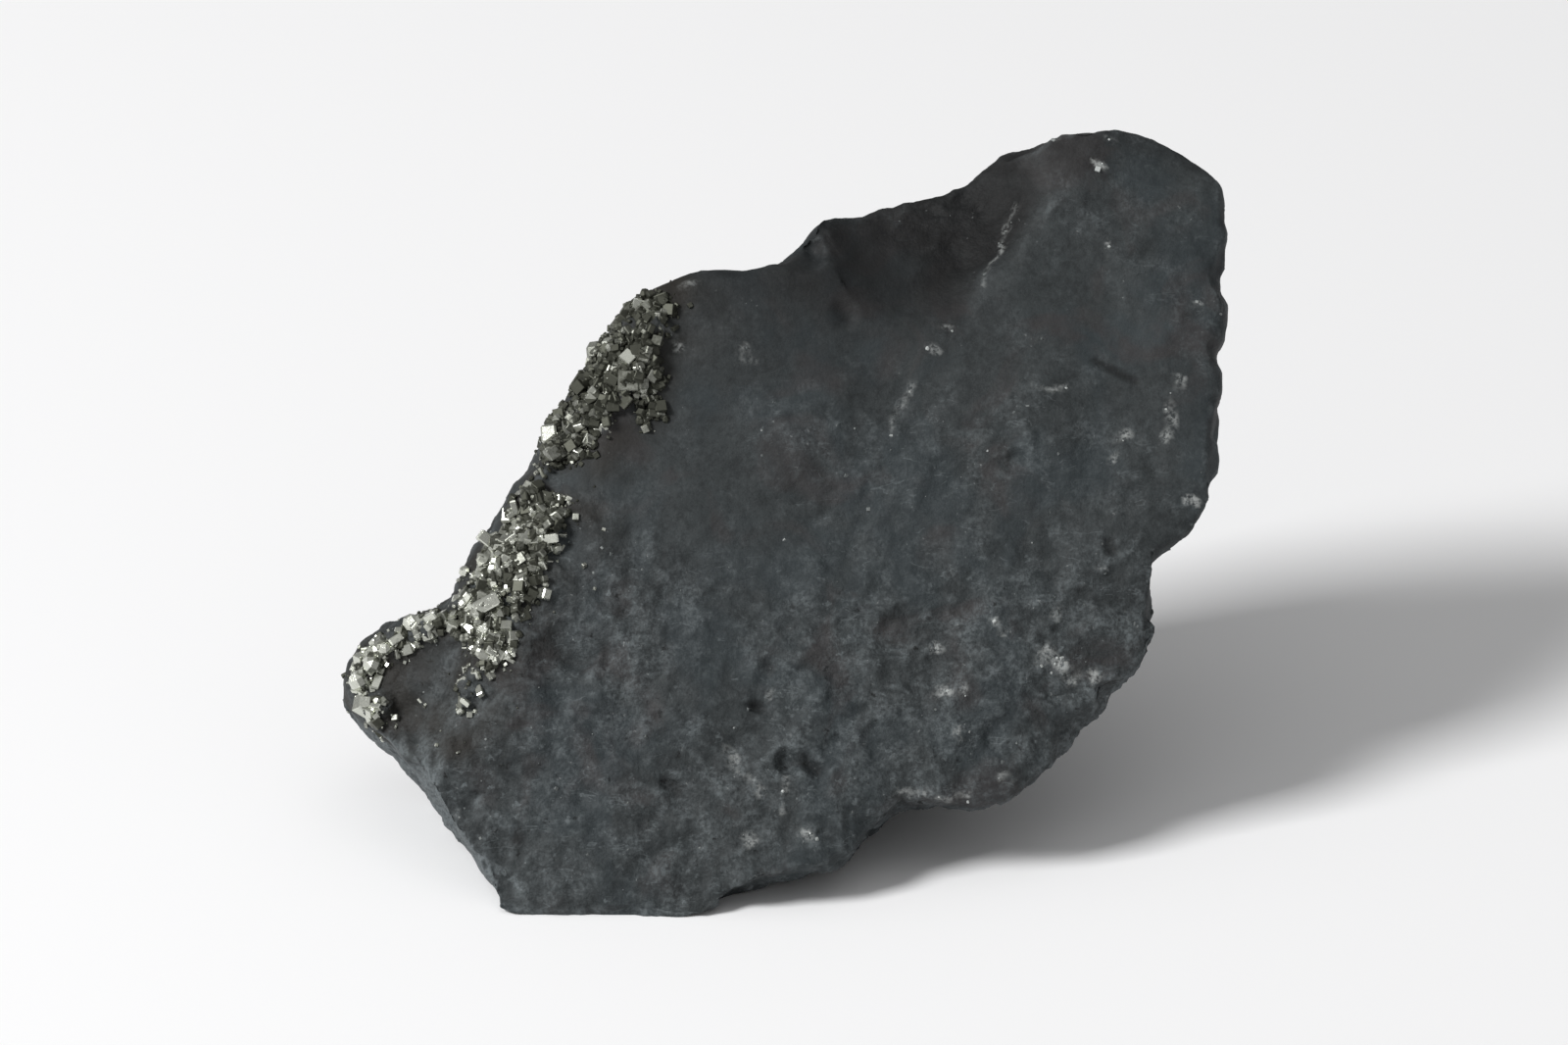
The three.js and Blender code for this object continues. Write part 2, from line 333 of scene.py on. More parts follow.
class Board:
    """A node tree that is being laid out."""

    def __init__(self, tree: bpy.types.NodeTree) -> None:
        """Starts with an empty tree."""
        self.tree = tree
        tree.nodes.clear()

    def feed(self, socket: Socket, value: Any) -> None:
        """Gives an input what it gets.

        Args:
            socket: the input.
            value: a value, or an output to link.
        """
        if isinstance(value, Socket):
            self.tree.links.new(value, socket)
        else:
            socket.default_value = value

    def node(self, kind: str, inputs: dict[str | int, Any] | None = None, **settings: Any) -> bpy.types.Node:
        """Adds a node.

        Args:
            kind: the node's type.
            inputs: what each input gets, by name or number: a value, or an output to link.
            settings: the node's own settings.

        Returns:
            The new node.
        """
        made = self.tree.nodes.new(kind)
        for name, value in settings.items():
            setattr(made, name, value)
        for name, value in (inputs or {}).items():
            self.feed(made.inputs[name], value)
        return made

    def math(self, operation: str, a: Any, b: Any = 0.0, clamp: bool = False) -> Socket:
        """Adds a sum, product or other step of arithmetic, and gives its result."""
        return self.node("ShaderNodeMath", {0: a, 1: b}, operation=operation, use_clamp=clamp).outputs[0]

    def times(self, a: Any, b: Any) -> Socket:
        """Adds a product, and gives its result."""
        return self.math("MULTIPLY", a, b)

    def plus(self, a: Any, b: Any) -> Socket:
        """Adds a sum, and gives its result."""
        return self.math("ADD", a, b)

    def weighed(self, *terms: tuple[Any, float]) -> Socket:
        """Adds a sum of values, each times its weight.

        Args:
            terms: each value with its weight.

        Returns:
            The sum.
        """
        total, *others = (self.times(value, weight) for value, weight in terms)
        for part in others:
            total = self.plus(total, part)
        return total

    def ramp(self, value: Any, low: float, high: float) -> Socket:
        """Adds a smooth step from 0 at low to 1 at high, and gives its result."""
        inputs = {"Value": value, "From Min": low, "From Max": high}
        return self.node("ShaderNodeMapRange", inputs, interpolation_type="SMOOTHSTEP").outputs["Result"]

    def mix(self, share: Any, a: Any, b: Any) -> Socket:
        """Adds a mix of two colours.

        Args:
            share: how much of the second colour there is, from 0 to 1.
            a: the first colour.
            b: the second colour.

        Returns:
            The mixed colour.
        """
        made = self.node("ShaderNodeMix", data_type="RGBA")
        factor, first, second = (made.inputs[number] for number in (0, 6, 7))
        for socket, value in ((factor, share), (first, a), (second, b)):
            self.feed(socket, value)
        return made.outputs[2]

    def vector(self, operation: str, *inputs: Any) -> bpy.types.NodeOutputs:
        """Adds a step of arithmetic with places, and gives its outputs."""
        return self.node("ShaderNodeVectorMath", dict(enumerate(inputs)), operation=operation).outputs

    def scaled(self, place: Any, scale: Any) -> Socket:
        """Adds a scaling of a place, and gives its result."""
        return self.node("ShaderNodeVectorMath", {0: place, "Scale": scale}, operation="SCALE").outputs[0]

    def noise(self, place: Any, swells: Swells) -> Socket:
        """Adds a noise.

        Args:
            place: the place to read, in millimetres.
            swells: how it looks.

        Returns:
            The noise's value, from 0 to 1.
        """
        inputs = {
            "Vector": place,
            "Scale": swells.scale,
            "Detail": swells.detail,
            "Roughness": swells.rough,
            "Distortion": swells.bent,
        }
        return self.node("ShaderNodeTexNoise", inputs).outputs["Fac"]

    def warped(self, place: Any, warp: Warp) -> Socket:
        """Shifts a place this way and that.

        Args:
            place: the place, in millimetres.
            warp: how it is shifted.

        Returns:
            The new place.
        """
        inputs = {"Vector": place, "Scale": warp.scale, "Detail": warp.detail}
        swell = self.node("ShaderNodeTexNoise", inputs)
        return self.vector("MULTIPLY_ADD", swell.outputs["Color"], (warp.reach,) * 3, place)[0]

    def cells(self, place: Any, scale: float) -> bpy.types.NodeOutputs:
        """Adds a pattern of that many cells to the millimetre, and gives its outputs."""
        return self.node("ShaderNodeTexVoronoi", {"Vector": place, "Scale": scale}, feature="F1").outputs

    def channels(self, colour: Socket) -> bpy.types.NodeOutputs:
        """Parts a colour, and gives its channels."""
        return self.node("ShaderNodeSeparateColor", {0: colour}).outputs

    def facets(self, place: Any, scale: float) -> Socket:
        """Adds flat chips that lean every way, and gives their height, about -0.2 to 0.2.

        Args:
            place: the place to read, in millimetres.
            scale: how many chips there are to the millimetre.

        Returns:
            The height.
        """
        cells = self.cells(place, scale)
        spoke = self.vector("SUBTRACT", place, cells["Position"])[0]
        lean = self.vector("SUBTRACT", cells["Color"], (0.5, 0.5, 0.5))[0]
        return self.times(self.vector("DOT_PRODUCT", spoke, lean)["Value"], scale)

    def attribute(self, name: Enum) -> Socket:
        """Adds a reading of one of the piece's own attributes, and gives its value."""
        return self.node("ShaderNodeAttribute", attribute_name=name.value).outputs["Fac"]

    def place(self) -> Socket:
        """Adds a reading of the place on the piece, and gives it in millimetres."""
        return self.scaled(self.node("ShaderNodeTexCoord").outputs["Object"], 1 / MM)

    def grain(self, tree: bpy.types.ShaderNodeTree, place: Any, fineness: float) -> bpy.types.NodeOutputs:
        """Places the shared grain, and gives its outputs."""
        return self.node("ShaderNodeGroup", {"Place": place, "Fineness": fineness}, node_tree=tree).outputs

    def surface(self, colour: Any, roughness: Any, normal: Socket | None = None, **fixed: float) -> None:
        """Adds the shader and the material's output.

        Args:
            colour: the base colour.
            roughness: the roughness.
            normal: the direction of the bumpy surface, if it is bumpy.
            fixed: what is the same all over, by the socket's name with underscores.
        """
        inputs = {"Base Color": colour, "Roughness": roughness}
        inputs |= {} if normal is None else {"Normal": normal}
        inputs |= {name.replace("_", " "): value for name, value in fixed.items()}
        shader = self.node("ShaderNodeBsdfPrincipled", inputs)
        self.node("ShaderNodeOutputMaterial", {"Surface": shader.outputs[0]})

    def bumps(self, height: Socket, strength: Any, depth: float) -> Socket:
        """Adds bumps of a depth in millimetres, and gives the bumpy surface's direction."""
        inputs = {"Height": height, "Strength": strength, "Distance": depth * MM}
        return self.node("ShaderNodeBump", inputs).outputs[0]


def open_material(name: str) -> tuple[bpy.types.Material, Board]:
    """Starts a material.

    Args:
        name: the material's name.

    Returns:
        The material and its empty board.
    """
    made = bpy.data.materials.new(name)
    made.use_nodes = True
    return made, Board(made.node_tree)


def shader_group(
    name: str,
    inputs: dict[str, tuple[str, Any]],
    outputs: dict[str, str],
    body: Callable[[Board, dict[str, Any]], dict[str, Any]],
) -> bpy.types.ShaderNodeTree:
    """Builds a shader node group.

    Args:
        name: the group's name.
        inputs: each input's socket type and default value, by its name.
        outputs: each output's socket type, by its name.
        body: lays out the nodes; takes the board and the inputs' sockets and gives what each output gets.

    Returns:
        The group's tree.
    """
    tree = bpy.data.node_groups.new(name, "ShaderNodeTree")
    board = Board(tree)
    for label, (kind, default) in inputs.items():
        socket = tree.interface.new_socket(label, in_out="INPUT", socket_type=kind)
        if default is not None:
            socket.default_value = default
    for label, kind in outputs.items():
        tree.interface.new_socket(label, in_out="OUTPUT", socket_type=kind)
    start = board.node("NodeGroupInput")
    results = body(board, {label: start.outputs[label] for label in inputs})
    board.node("NodeGroupOutput", results)
    return tree


@dataclass(frozen=True)
class MineralGrain:
    """The grain that all the mineral surfaces share, as it is at a fineness of 1."""

    patches: Swells = Swells(0.30, 3.0, 0.55, 0.4)
    crumbs: Swells = Swells(1.9, 4.0, 0.65, 0.2)
    sand: Swells = Swells(9.0, 2.0, 0.6)
    tone_shares: tuple[float, float, float] = (0.25, 0.5, 0.25)
    speck_warp: Warp = Warp(5.0, 0.5)
    speck_cells: float = 2.8
    speck_edge: Span = (0.26, 0.12)
    speck_luck: Span = (0.78, 0.9)
    bead_warp: Warp = Warp(2.6, 0.9)
    bead_cells: float = 1.25
    bead_sand: float = 0.3
    bead_edge: Span = (0.46, 0.24)
    bead_luck: Span = (0.70, 0.95)
    # The pits are dark spots with no dent under them: painted pit shade.
    pit_luck: Span = (0.84, 0.90)
    bedding: tuple[float, float, float] = (0.22, 0.22, 1.0)
    line_swirl: Swells = Swells(0.8, 3.0, 0.5, 0.3)
    line_level: float = 0.5
    line_width: float = 0.010
    line_breaks: Swells = Swells(0.9, 3.0, 0.65)
    line_broken: Span = (0.50, 0.58)
    grit: Swells = Swells(4.5, 1.5, 0.5)
    lumps: Swells = Swells(1.0, 2.5, 0.50)
    grit_height: float = 0.20
    lump_height: float = 0.6
    sand_height: float = 0.045
    chips: tuple[Span, Span] = ((1.3, 0.32), (3.1, 0.18))

    def tree(self) -> bpy.types.ShaderNodeTree:
        """Builds the grain's group.

        Returns:
            A group with a patchy tone, sharp specks, pale beads, dark spots of painted pit shade, thin broken
            lines and a height, all finer or coarser by its Fineness.
        """
        outputs = ("Tone", "Specks", "Beads", "Pits", "Lines", "Height")
        return shader_group(
            "mineral_grain",
            {"Place": ("NodeSocketVector", None), "Fineness": ("NodeSocketFloat", 1.0)},
            dict.fromkeys(outputs, "NodeSocketFloat"),
            self.body,
        )

    def body(self, board: Board, given: dict[str, Any]) -> dict[str, Any]:
        """Lays out the grain.

        Args:
            board: the group's board.
            given: the group's inputs.

        Returns:
            What each of the group's outputs gets.
        """
        place = board.scaled(given["Place"], given["Fineness"])
        patches, crumbs, sand = (board.noise(place, kind) for kind in (self.patches, self.crumbs, self.sand))
        beads, pits = self.beads_and_pits(board, place, sand)
        chips = ((board.facets(place, scale), height) for scale, height in self.chips)
        return {
            "Tone": board.weighed(*zip((patches, crumbs, sand), self.tone_shares)),
            "Specks": self.specks(board, place),
            "Beads": beads,
            "Pits": pits,
            "Lines": self.lines(board, place),
            "Height": board.weighed(
                (board.noise(place, self.grit), self.grit_height),
                (board.noise(place, self.lumps), self.lump_height),
                *chips,
                (sand, self.sand_height),
            ),
        }

    def specks(self, board: Board, place: Socket) -> Socket:
        """Lays out small sharp specks, in some of many cells.

        Args:
            board: the group's board.
            place: the place to read.

        Returns:
            The specks' mask.
        """
        cells = board.cells(board.warped(place, self.speck_warp), self.speck_cells)
        near = board.ramp(cells["Distance"], *self.speck_edge)
        return board.times(near, board.ramp(board.channels(cells["Color"])[0], *self.speck_luck))

    def beads_and_pits(self, board: Board, place: Socket, sand: Socket) -> tuple[Socket, Socket]:
        """Lays out pale beads and dark spots of painted pit shade, in some of many larger cells.

        Args:
            board: the group's board.
            place: the place to read.
            sand: the fine noise that frays their edges.

        Returns:
            The beads' mask and the painted pit shade's.
        """
        cells = board.cells(board.warped(place, self.bead_warp), self.bead_cells)
        frayed = board.plus(cells["Distance"], board.times(sand, self.bead_sand))
        near = board.ramp(frayed, *self.bead_edge)
        drawn = board.channels(cells["Color"])
        beads = board.times(near, board.ramp(drawn[0], *self.bead_luck))
        return beads, board.times(near, board.ramp(drawn[1], *self.pit_luck))

    def lines(self, board: Board, place: Socket) -> Socket:
        """Lays out thin broken lines along the rock's bedding.

        Args:
            board: the group's board.
            place: the place to read.

        Returns:
            The lines' mask.
        """
        swirl = board.noise(board.vector("MULTIPLY", place, self.bedding)[0], self.line_swirl)
        off = board.math("ABSOLUTE", board.math("SUBTRACT", swirl, self.line_level))
        thin = board.ramp(off, self.line_width, 0.0)
        return board.times(thin, board.ramp(board.noise(place, self.line_breaks), *self.line_broken))


@dataclass(frozen=True)
class RockFinish:
    """Dull grey-black broken rock with faint warm and cool stains, pale dust, specks and thin ridges, black
    painted shade in its hollows, pocks and pits, and painted light on its edges and lower flank.
    """

    grain: bpy.types.ShaderNodeTree
    dark: Colour = linear(42, 45, 46)
    middle: Colour = linear(53, 57, 58)
    cool: Colour = linear(50, 57, 60)
    warm: Colour = linear(57, 53, 53)
    pale: Colour = linear(100, 106, 108)
    # Black: painted shade in the scoops, over the top of the face, in the pocks and in the pits.
    painted_shade: Colour = linear(18, 18, 18)
    # Dark brown round the pyrite: its own brown, made darker as painted shade between the crystals.
    matrix: Colour = linear(36, 33, 29)
    speck: Colour = linear(185, 188, 186)
    tone: Span = (0.38, 0.58)
    cool_stain: Swells = Swells(0.13, 3.0, 0.55, 0.6)
    cool_edge: Span = (0.45, 0.62)
    warm_stain: Swells = Swells(0.17, 3.0, 0.55, 0.8)
    warm_edge: Span = (0.52, 0.68)
    warm_shift: tuple[float, float, float] = (37.0, 11.0, 5.0)
    stain: float = 0.55
    dust: Swells = Swells(0.45, 5.0, 0.7, 0.3)
    dust_edge: Span = (0.48, 0.74)
    dust_where_rough: float = 0.10
    # Dust thickens where the rock is rough, most of all low on the face: partly dust, partly painted light
    # that makes the face lighter towards the bottom.
    dust_and_low_light_share: Span = (0.24, 0.20)
    dust_grains: Swells = Swells(3.6, 2.0, 0.65)
    dust_grain_edge: Span = (0.37, 0.63)
    dust_between_grains: float = 0.25
    # The pale on the edges is partly wear and partly painted highlight; on the lower-left flank it is painted
    # light bounced off the ground.
    wear_and_highlight_share: Span = (0.42, 0.28)
    lines: float = 0.45
    lines_where_rough: Span = (-0.2, 0.7)
    coarse: Span = (0.3, 0.95)
    beads: float = 0.75
    # How black the pits are painted: painted shade, with no dent under them.
    pits: float = 0.85
    painted_shade_share: float = 0.92
    matrix_and_gap_shade_share: float = 0.8
    specks: float = 0.25
    specks_in_dust: Span = (0.1, 0.8)
    flecks: float = 0.62
    fleck_breaks: Swells = Swells(3.4, 2.0, 0.65)
    fleck_broken: Span = (0.33, 0.63)
    roughness: float = 0.66
    roughness_dark: float = 0.12
    roughness_by_tone: float = 0.25
    roughness_by_speck: float = 0.2
    bump: float = 0.28
    bump_strength: Span = (0.65, 0.35)
    specular: float = 0.2

    def stained(self, board: Board, place: Any, colour: Any) -> Socket:
        """Tints the rock cool or warm in broad patches.

        Args:
            board: the material's board.
            place: the place on the piece, in millimetres.
            colour: the colour so far.

        Returns:
            The tinted colour.
        """
        cool = board.ramp(board.noise(place, self.cool_stain), *self.cool_edge)
        here = board.vector("ADD", place, self.warm_shift)[0]
        warm = board.ramp(board.noise(here, self.warm_stain), *self.warm_edge)
        colour = board.mix(board.times(cool, self.stain), colour, self.cool)
        return board.mix(board.times(warm, self.stain), colour, self.warm)

    def dusted(self, board: Board, place: Any, rough: Socket, grains: Socket) -> Socket:
        """Gives where pale dust lies: in broad patches, thicker where the rock is rough.

        Args:
            board: the material's board.
            place: the place on the piece, in millimetres.
            rough: how rough the rock is.
            grains: the fine grains that break the dust up.

        Returns:
            The dust's mask.
        """
        cloudy = board.plus(board.noise(place, self.dust), board.times(rough, self.dust_where_rough))
        return board.times(board.ramp(cloudy, *self.dust_edge), board.plus(grains, self.dust_between_grains))

    def material(self) -> bpy.types.Material:
        """Builds the material.

        Returns:
            The material.
        """
        made, board = open_material("broken_shungite")
        place = board.place()
        grain = board.grain(self.grain, place, 1.0)
        rough, painted_shade = board.attribute(Zone.ROUGH), board.attribute(Zone.PAINTED_SHADE)
        grains = board.ramp(board.noise(place, self.dust_grains), *self.dust_grain_edge)
        dust = self.dusted(board, place, rough, grains)
        dust_and_low_light = board.plus(board.times(rough, self.dust_and_low_light_share[0]), self.dust_and_low_light_share[1])
        worn_and_lit = board.plus(board.times(grains, self.wear_and_highlight_share[0]), self.wear_and_highlight_share[1])
        lines = board.times(grain["Lines"], board.ramp(rough, *self.lines_where_rough))
        coarse = board.ramp(rough, *self.coarse)
        beads, pits = board.times(grain["Beads"], coarse), board.times(grain["Pits"], coarse)
        specks = board.times(grain["Specks"], board.ramp(dust, *self.specks_in_dust))
        broken = board.ramp(board.noise(place, self.fleck_breaks), *self.fleck_broken)
        flecks = board.times(board.attribute(Zone.PALE), broken)
        colour = board.mix(board.ramp(grain["Tone"], *self.tone), self.dark, self.middle)
        colour = self.stained(board, place, colour)
        # The tone, stains, dust, lines, beads and specks are the rock's own colour; the pale edges are partly
        # wear and partly painted highlight, the flank's pale is painted light, the black is painted shade,
        # and the dark brown is partly painted shade.
        for share, over in (
            (board.times(dust, dust_and_low_light), self.pale),
            (board.math("MULTIPLY", board.attribute(Zone.EDGE), worn_and_lit, clamp=True), self.pale),
            (board.times(lines, self.lines), self.pale),
            (board.times(beads, self.beads), self.pale),
            (board.times(pits, self.pits), self.painted_shade),
            (board.times(painted_shade, self.painted_shade_share), self.painted_shade),
            (board.times(board.attribute(Zone.MATRIX), self.matrix_and_gap_shade_share), self.matrix),
            (board.times(specks, self.specks), self.speck),
            (board.times(flecks, self.flecks), self.speck),
        ):
            colour = board.mix(share, colour, over)
        by_tone = board.times(grain["Tone"], self.roughness_by_tone)
        roughness = board.math("SUBTRACT", self.roughness + self.roughness_dark, by_tone)
        roughness = board.math("SUBTRACT", roughness, board.times(specks, self.roughness_by_speck))
        strength = board.plus(board.times(rough, self.bump_strength[0]), self.bump_strength[1])
        bumps = board.bumps(grain["Height"], strength, self.bump)
        board.surface(colour, roughness, bumps, Specular_IOR_Level=self.specular)
        return made


@dataclass(frozen=True)
class PyriteFinish:
    """Pale brassy crystal, its faces faintly grooved and some of them tarnished."""

    grain: bpy.types.ShaderNodeTree
    bright: Colour = linear(207, 209, 199)
    tarnished: Colour = linear(79, 80, 72)
    fineness: float = 3.0
    tarnish: Span = (0.55, 1.20)
    roughness: float = 0.24
    tarnish_roughness: float = 0.3
    metallic: float = 0.9
    bump: float = 0.02
    bump_strength: float = 0.6

    def material(self) -> bpy.types.Material:
        """Builds the material.

        Returns:
            The material.
        """
        made, board = open_material("pyrite")
        grain = board.grain(self.grain, board.place(), self.fineness)
        tarnish = board.ramp(board.plus(board.attribute(Shade.TINT), grain["Tone"]), *self.tarnish)
        colour = board.mix(tarnish, self.bright, self.tarnished)
        roughness = board.plus(self.roughness, board.times(tarnish, self.tarnish_roughness))
        bumps = board.bumps(grain["Height"], self.bump_strength, self.bump)
        board.surface(colour, roughness, bumps, Metallic=self.metallic)
        return made


@dataclass(frozen=True)
class FleckFinish:
    """Pale grey, faintly glassy grains in the rock."""

    grain: bpy.types.ShaderNodeTree
    bright: Colour = linear(176, 180, 178)
    dull: Colour = linear(88, 92, 92)
    fineness: float = 4.0
    dulling: Span = (0.6, 1.3)
    roughness: float = 0.2
    roughness_by_tone: float = 0.3
    specular: float = 0.5
    bump: float = 0.02
    bump_strength: float = 0.5

    def material(self) -> bpy.types.Material:
        """Builds the material.

        Returns:
            The material.
        """
        made, board = open_material("pale_flecks")
        grain = board.grain(self.grain, board.place(), self.fineness)
        dull = board.ramp(board.plus(board.attribute(Shade.TINT), grain["Tone"]), *self.dulling)
        colour = board.mix(dull, self.bright, self.dull)
        roughness = board.plus(board.times(grain["Tone"], self.roughness_by_tone), self.roughness)
        bumps = board.bumps(grain["Height"], self.bump_strength, self.bump)
        board.surface(colour, roughness, bumps, Specular_IOR_Level=self.specular)
        return made


@dataclass(frozen=True)
class PaperFinish:
    """The plain pale ground of the studio."""

    colour: Colour = (0.92, 0.92, 0.925, 1.0)
    roughness: float = 0.9
    specular: float = 0.1

    def material(self) -> bpy.types.Material:
        """Builds the material.

        Returns:
            The material.
        """
        made, board = open_material("pale_ground")
        board.surface(self.colour, self.roughness, Specular_IOR_Level=self.specular)
        return made


@dataclass
class Surface:
    """A closed surface of four-sided faces, as arrays."""

    points: np.ndarray
    faces: np.ndarray
    edges: np.ndarray

    @classmethod
    def of(cls, mesh: bpy.types.Mesh) -> "Surface":
        """Reads a mesh whose faces all have four sides.

        Args:
            mesh: the mesh.

        Returns:
            Its surface.
        """
        points = np.empty(len(mesh.vertices) * 3)
        mesh.vertices.foreach_get("co", points)
        corners = np.empty(len(mesh.loops), dtype=np.int64)
        mesh.loops.foreach_get("vertex_index", corners)
        edges = np.empty(len(mesh.edges) * 2, dtype=np.int64)
        mesh.edges.foreach_get("vertices", edges)
        return cls(points.reshape(-1, 3), corners.reshape(-1, 4), edges.reshape(-1, 2))

    def tree(self) -> BVHTree:
        """Gives the surface as a tree to cast rays at."""
        return BVHTree.FromPolygons(self.points.tolist(), self.faces.tolist())

    def middles(self) -> np.ndarray:
        """Gives the middle of each face."""
        return self.points[self.faces].mean(axis=1)

    def face_normals(self) -> np.ndarray:
        """Gives each face's outward direction, as long as twice its area."""
        a, b, c, d = (self.points[self.faces[:, k]] for k in range(4))
        return np.cross(c - a, d - b)

    def gathered(self, values: np.ndarray) -> np.ndarray:
        """Adds up, for each point, what its faces hold.

        Args:
            values: a row for each face.

        Returns:
            A row for each point.
        """
        count = len(self.points)
        columns = np.repeat(values[:, None], 4, axis=1).reshape(-1, values.shape[1])
        index = self.faces.reshape(-1)
        return np.stack([np.bincount(index, column, count) for column in columns.T], axis=1)

    def normals(self) -> np.ndarray:
        """Gives each point's outward direction."""
        total = self.gathered(self.face_normals())
        return total / np.maximum(np.linalg.norm(total, axis=1, keepdims=True), 1e-20)

    def neighbour_mean(self, values: np.ndarray, rounds: int = 1) -> np.ndarray:
        """Replaces each point's value by the mean over it and its neighbours.

        Args:
            values: a number or a row for each point.
            rounds: how many times over.

        Returns:
            The smoothed values.
        """
        count = len(self.points)
        ends = np.concatenate([self.edges[:, 0], self.edges[:, 1]])
        others = np.concatenate([self.edges[:, 1], self.edges[:, 0]])
        links = np.bincount(ends, minlength=count) + 1.0
        for _ in range(rounds):
            if values.ndim == 1:
                values = (values + np.bincount(ends, values[others], count)) / links
            else:
                sums = [np.bincount(ends, column[others], count) for column in values.T]
                values = (values + np.stack(sums, axis=1)) / links[:, None]
        return values

    def bulge(self) -> np.ndarray:
        """Gives how far each point stands out of its neighbourhood, in metres: more than 0 on ridges."""
        middle = self.neighbour_mean(self.points, rounds=3)
        return np.einsum("ij,ij->i", self.points - middle, self.normals())

    def ridges(self, span: Span) -> np.ndarray:
        """Gives how much each point is on a ridge, from 0 to 1, by how far it stands out in millimetres."""
        return smoothstep(*span, self.neighbour_mean(self.bulge()) / MM)

    def settle(self) -> None:
        """Lifts whatever lies under the ground up to it."""
        self.points[:, 2] = np.maximum(self.points[:, 2], 0.0)

    def relax(self, reach: float, rounds: int) -> None:
        """Draws back the points that stand out of their surroundings by more than a reach.

        Args:
            reach: how far from the middle of its neighbours a point may be.
            rounds: how many times all of them are looked at.
        """
        for _ in range(rounds):
            middle = self.neighbour_mean(self.points)
            offset = self.points - middle
            away = np.maximum(np.linalg.norm(offset, axis=1, keepdims=True), 1e-12)
            self.points = middle + offset * np.minimum(1.0, reach / away)

    def unfold(self, rounds: int, folded: Span = (0.6, 0.25), gain: float = 3.0) -> None:
        """Smooths the places where the surface is folded against what surrounds it.

        Args:
            rounds: how often they are smoothed.
            folded: how little a point looks the way that its surroundings do, from not folded to folded.
            gain: how far the smoothing reaches round a fold.
        """
        for _ in range(rounds):
            normals = self.normals()
            around = self.neighbour_mean(normals, rounds=4)
            around /= np.linalg.norm(around, axis=1, keepdims=True)
            agreement = (normals * around).sum(axis=1)
            folds = self.neighbour_mean(smoothstep(*folded, agreement), rounds=2)
            share = np.clip(gain * folds, 0, 1)[:, None]
            self.points += share * (self.neighbour_mean(self.points) - self.points)

    def turn_faces_to(self, wanted: np.ndarray, rounds: int) -> None:
        """Moves the points so that the faces come to look the way they are wanted to.

        Args:
            wanted: each face's outward direction, of length 1.
            rounds: how often the points are moved.
        """
        shares = np.bincount(self.faces.reshape(-1), minlength=len(self.points))[:, None]
        for _ in range(rounds):
            step = np.zeros_like(self.points)
            middles = self.middles()
            for k in range(4):
                corner = self.faces[:, k]
                off = np.einsum("ij,ij->i", wanted, middles - self.points[corner])
                push = wanted * off[:, None]
                for axis in range(3):
                    step[:, axis] += np.bincount(corner, push[:, axis], len(self.points))
            self.points += step / shares


@dataclass(frozen=True)
class Unevenness:
    """One layer of the broken surface: its kind, size and height, and its share where the rock is smooth."""

    layer: Layer
    size: float
    height: float
    in_smooth: float = 1.0

    def at(self, point: Vector) -> float:
        """Gives the height of the layer, about -1 to 1.

        Args:
            point: a place in millimetres.

        Returns:
            The height, as a share of the layer's own.
        """
        here = point / self.size
        if self.layer is Layer.SWELL:
            return noise.noise(here)
        if self.layer is Layer.CRAG:
            return self.crag(here)
        distances, centres = noise.voronoi(here)
        cell_spread = 7.3
        lean = noise.cell_vector(centres[0] * cell_spread)
        if self.layer is Layer.FACET:
            steepness = 1.4
            return (here - centres[0]).dot(lean * 2 - Vector((1, 1, 1))) * steepness
        pit_radius, luck = 0.42, 0.72
        deep = max(0.0, 1.0 - distances[0] / pit_radius)
        return -deep * deep if lean.x > luck else 0.0

    @staticmethod
    def crag(here: Vector) -> float:
        """Gives the height of ridges on ridges.

        Args:
            here: the place, in sizes of the layer.

        Returns:
            The height, 0 halfway up.
        """
        bend, bend_scale, middle = 0.5, 0.6, 1.2
        fade, finer, octaves, offset, gain = 1.0, 2.1, 4, 1.0, 1.8
        bent = here + bend * noise.noise_vector(here * bend_scale)
        return noise.ridged_multi_fractal(bent, fade, finer, octaves, offset, gain) - middle


@dataclass(frozen=True)
class Scoop:
    """A ball that the rock was broken along."""

    centre: tuple[float, float, float]
    radius: float
    skin: Span = (1.1, 0.35)

    def nearness(self, uvw: np.ndarray) -> np.ndarray:
        """Gives 1 on the ball's surface and 0 a little away from it."""
        away = np.abs(np.linalg.norm(uvw - np.array(self.centre), axis=1) - self.radius)
        return smoothstep(*self.skin, away)


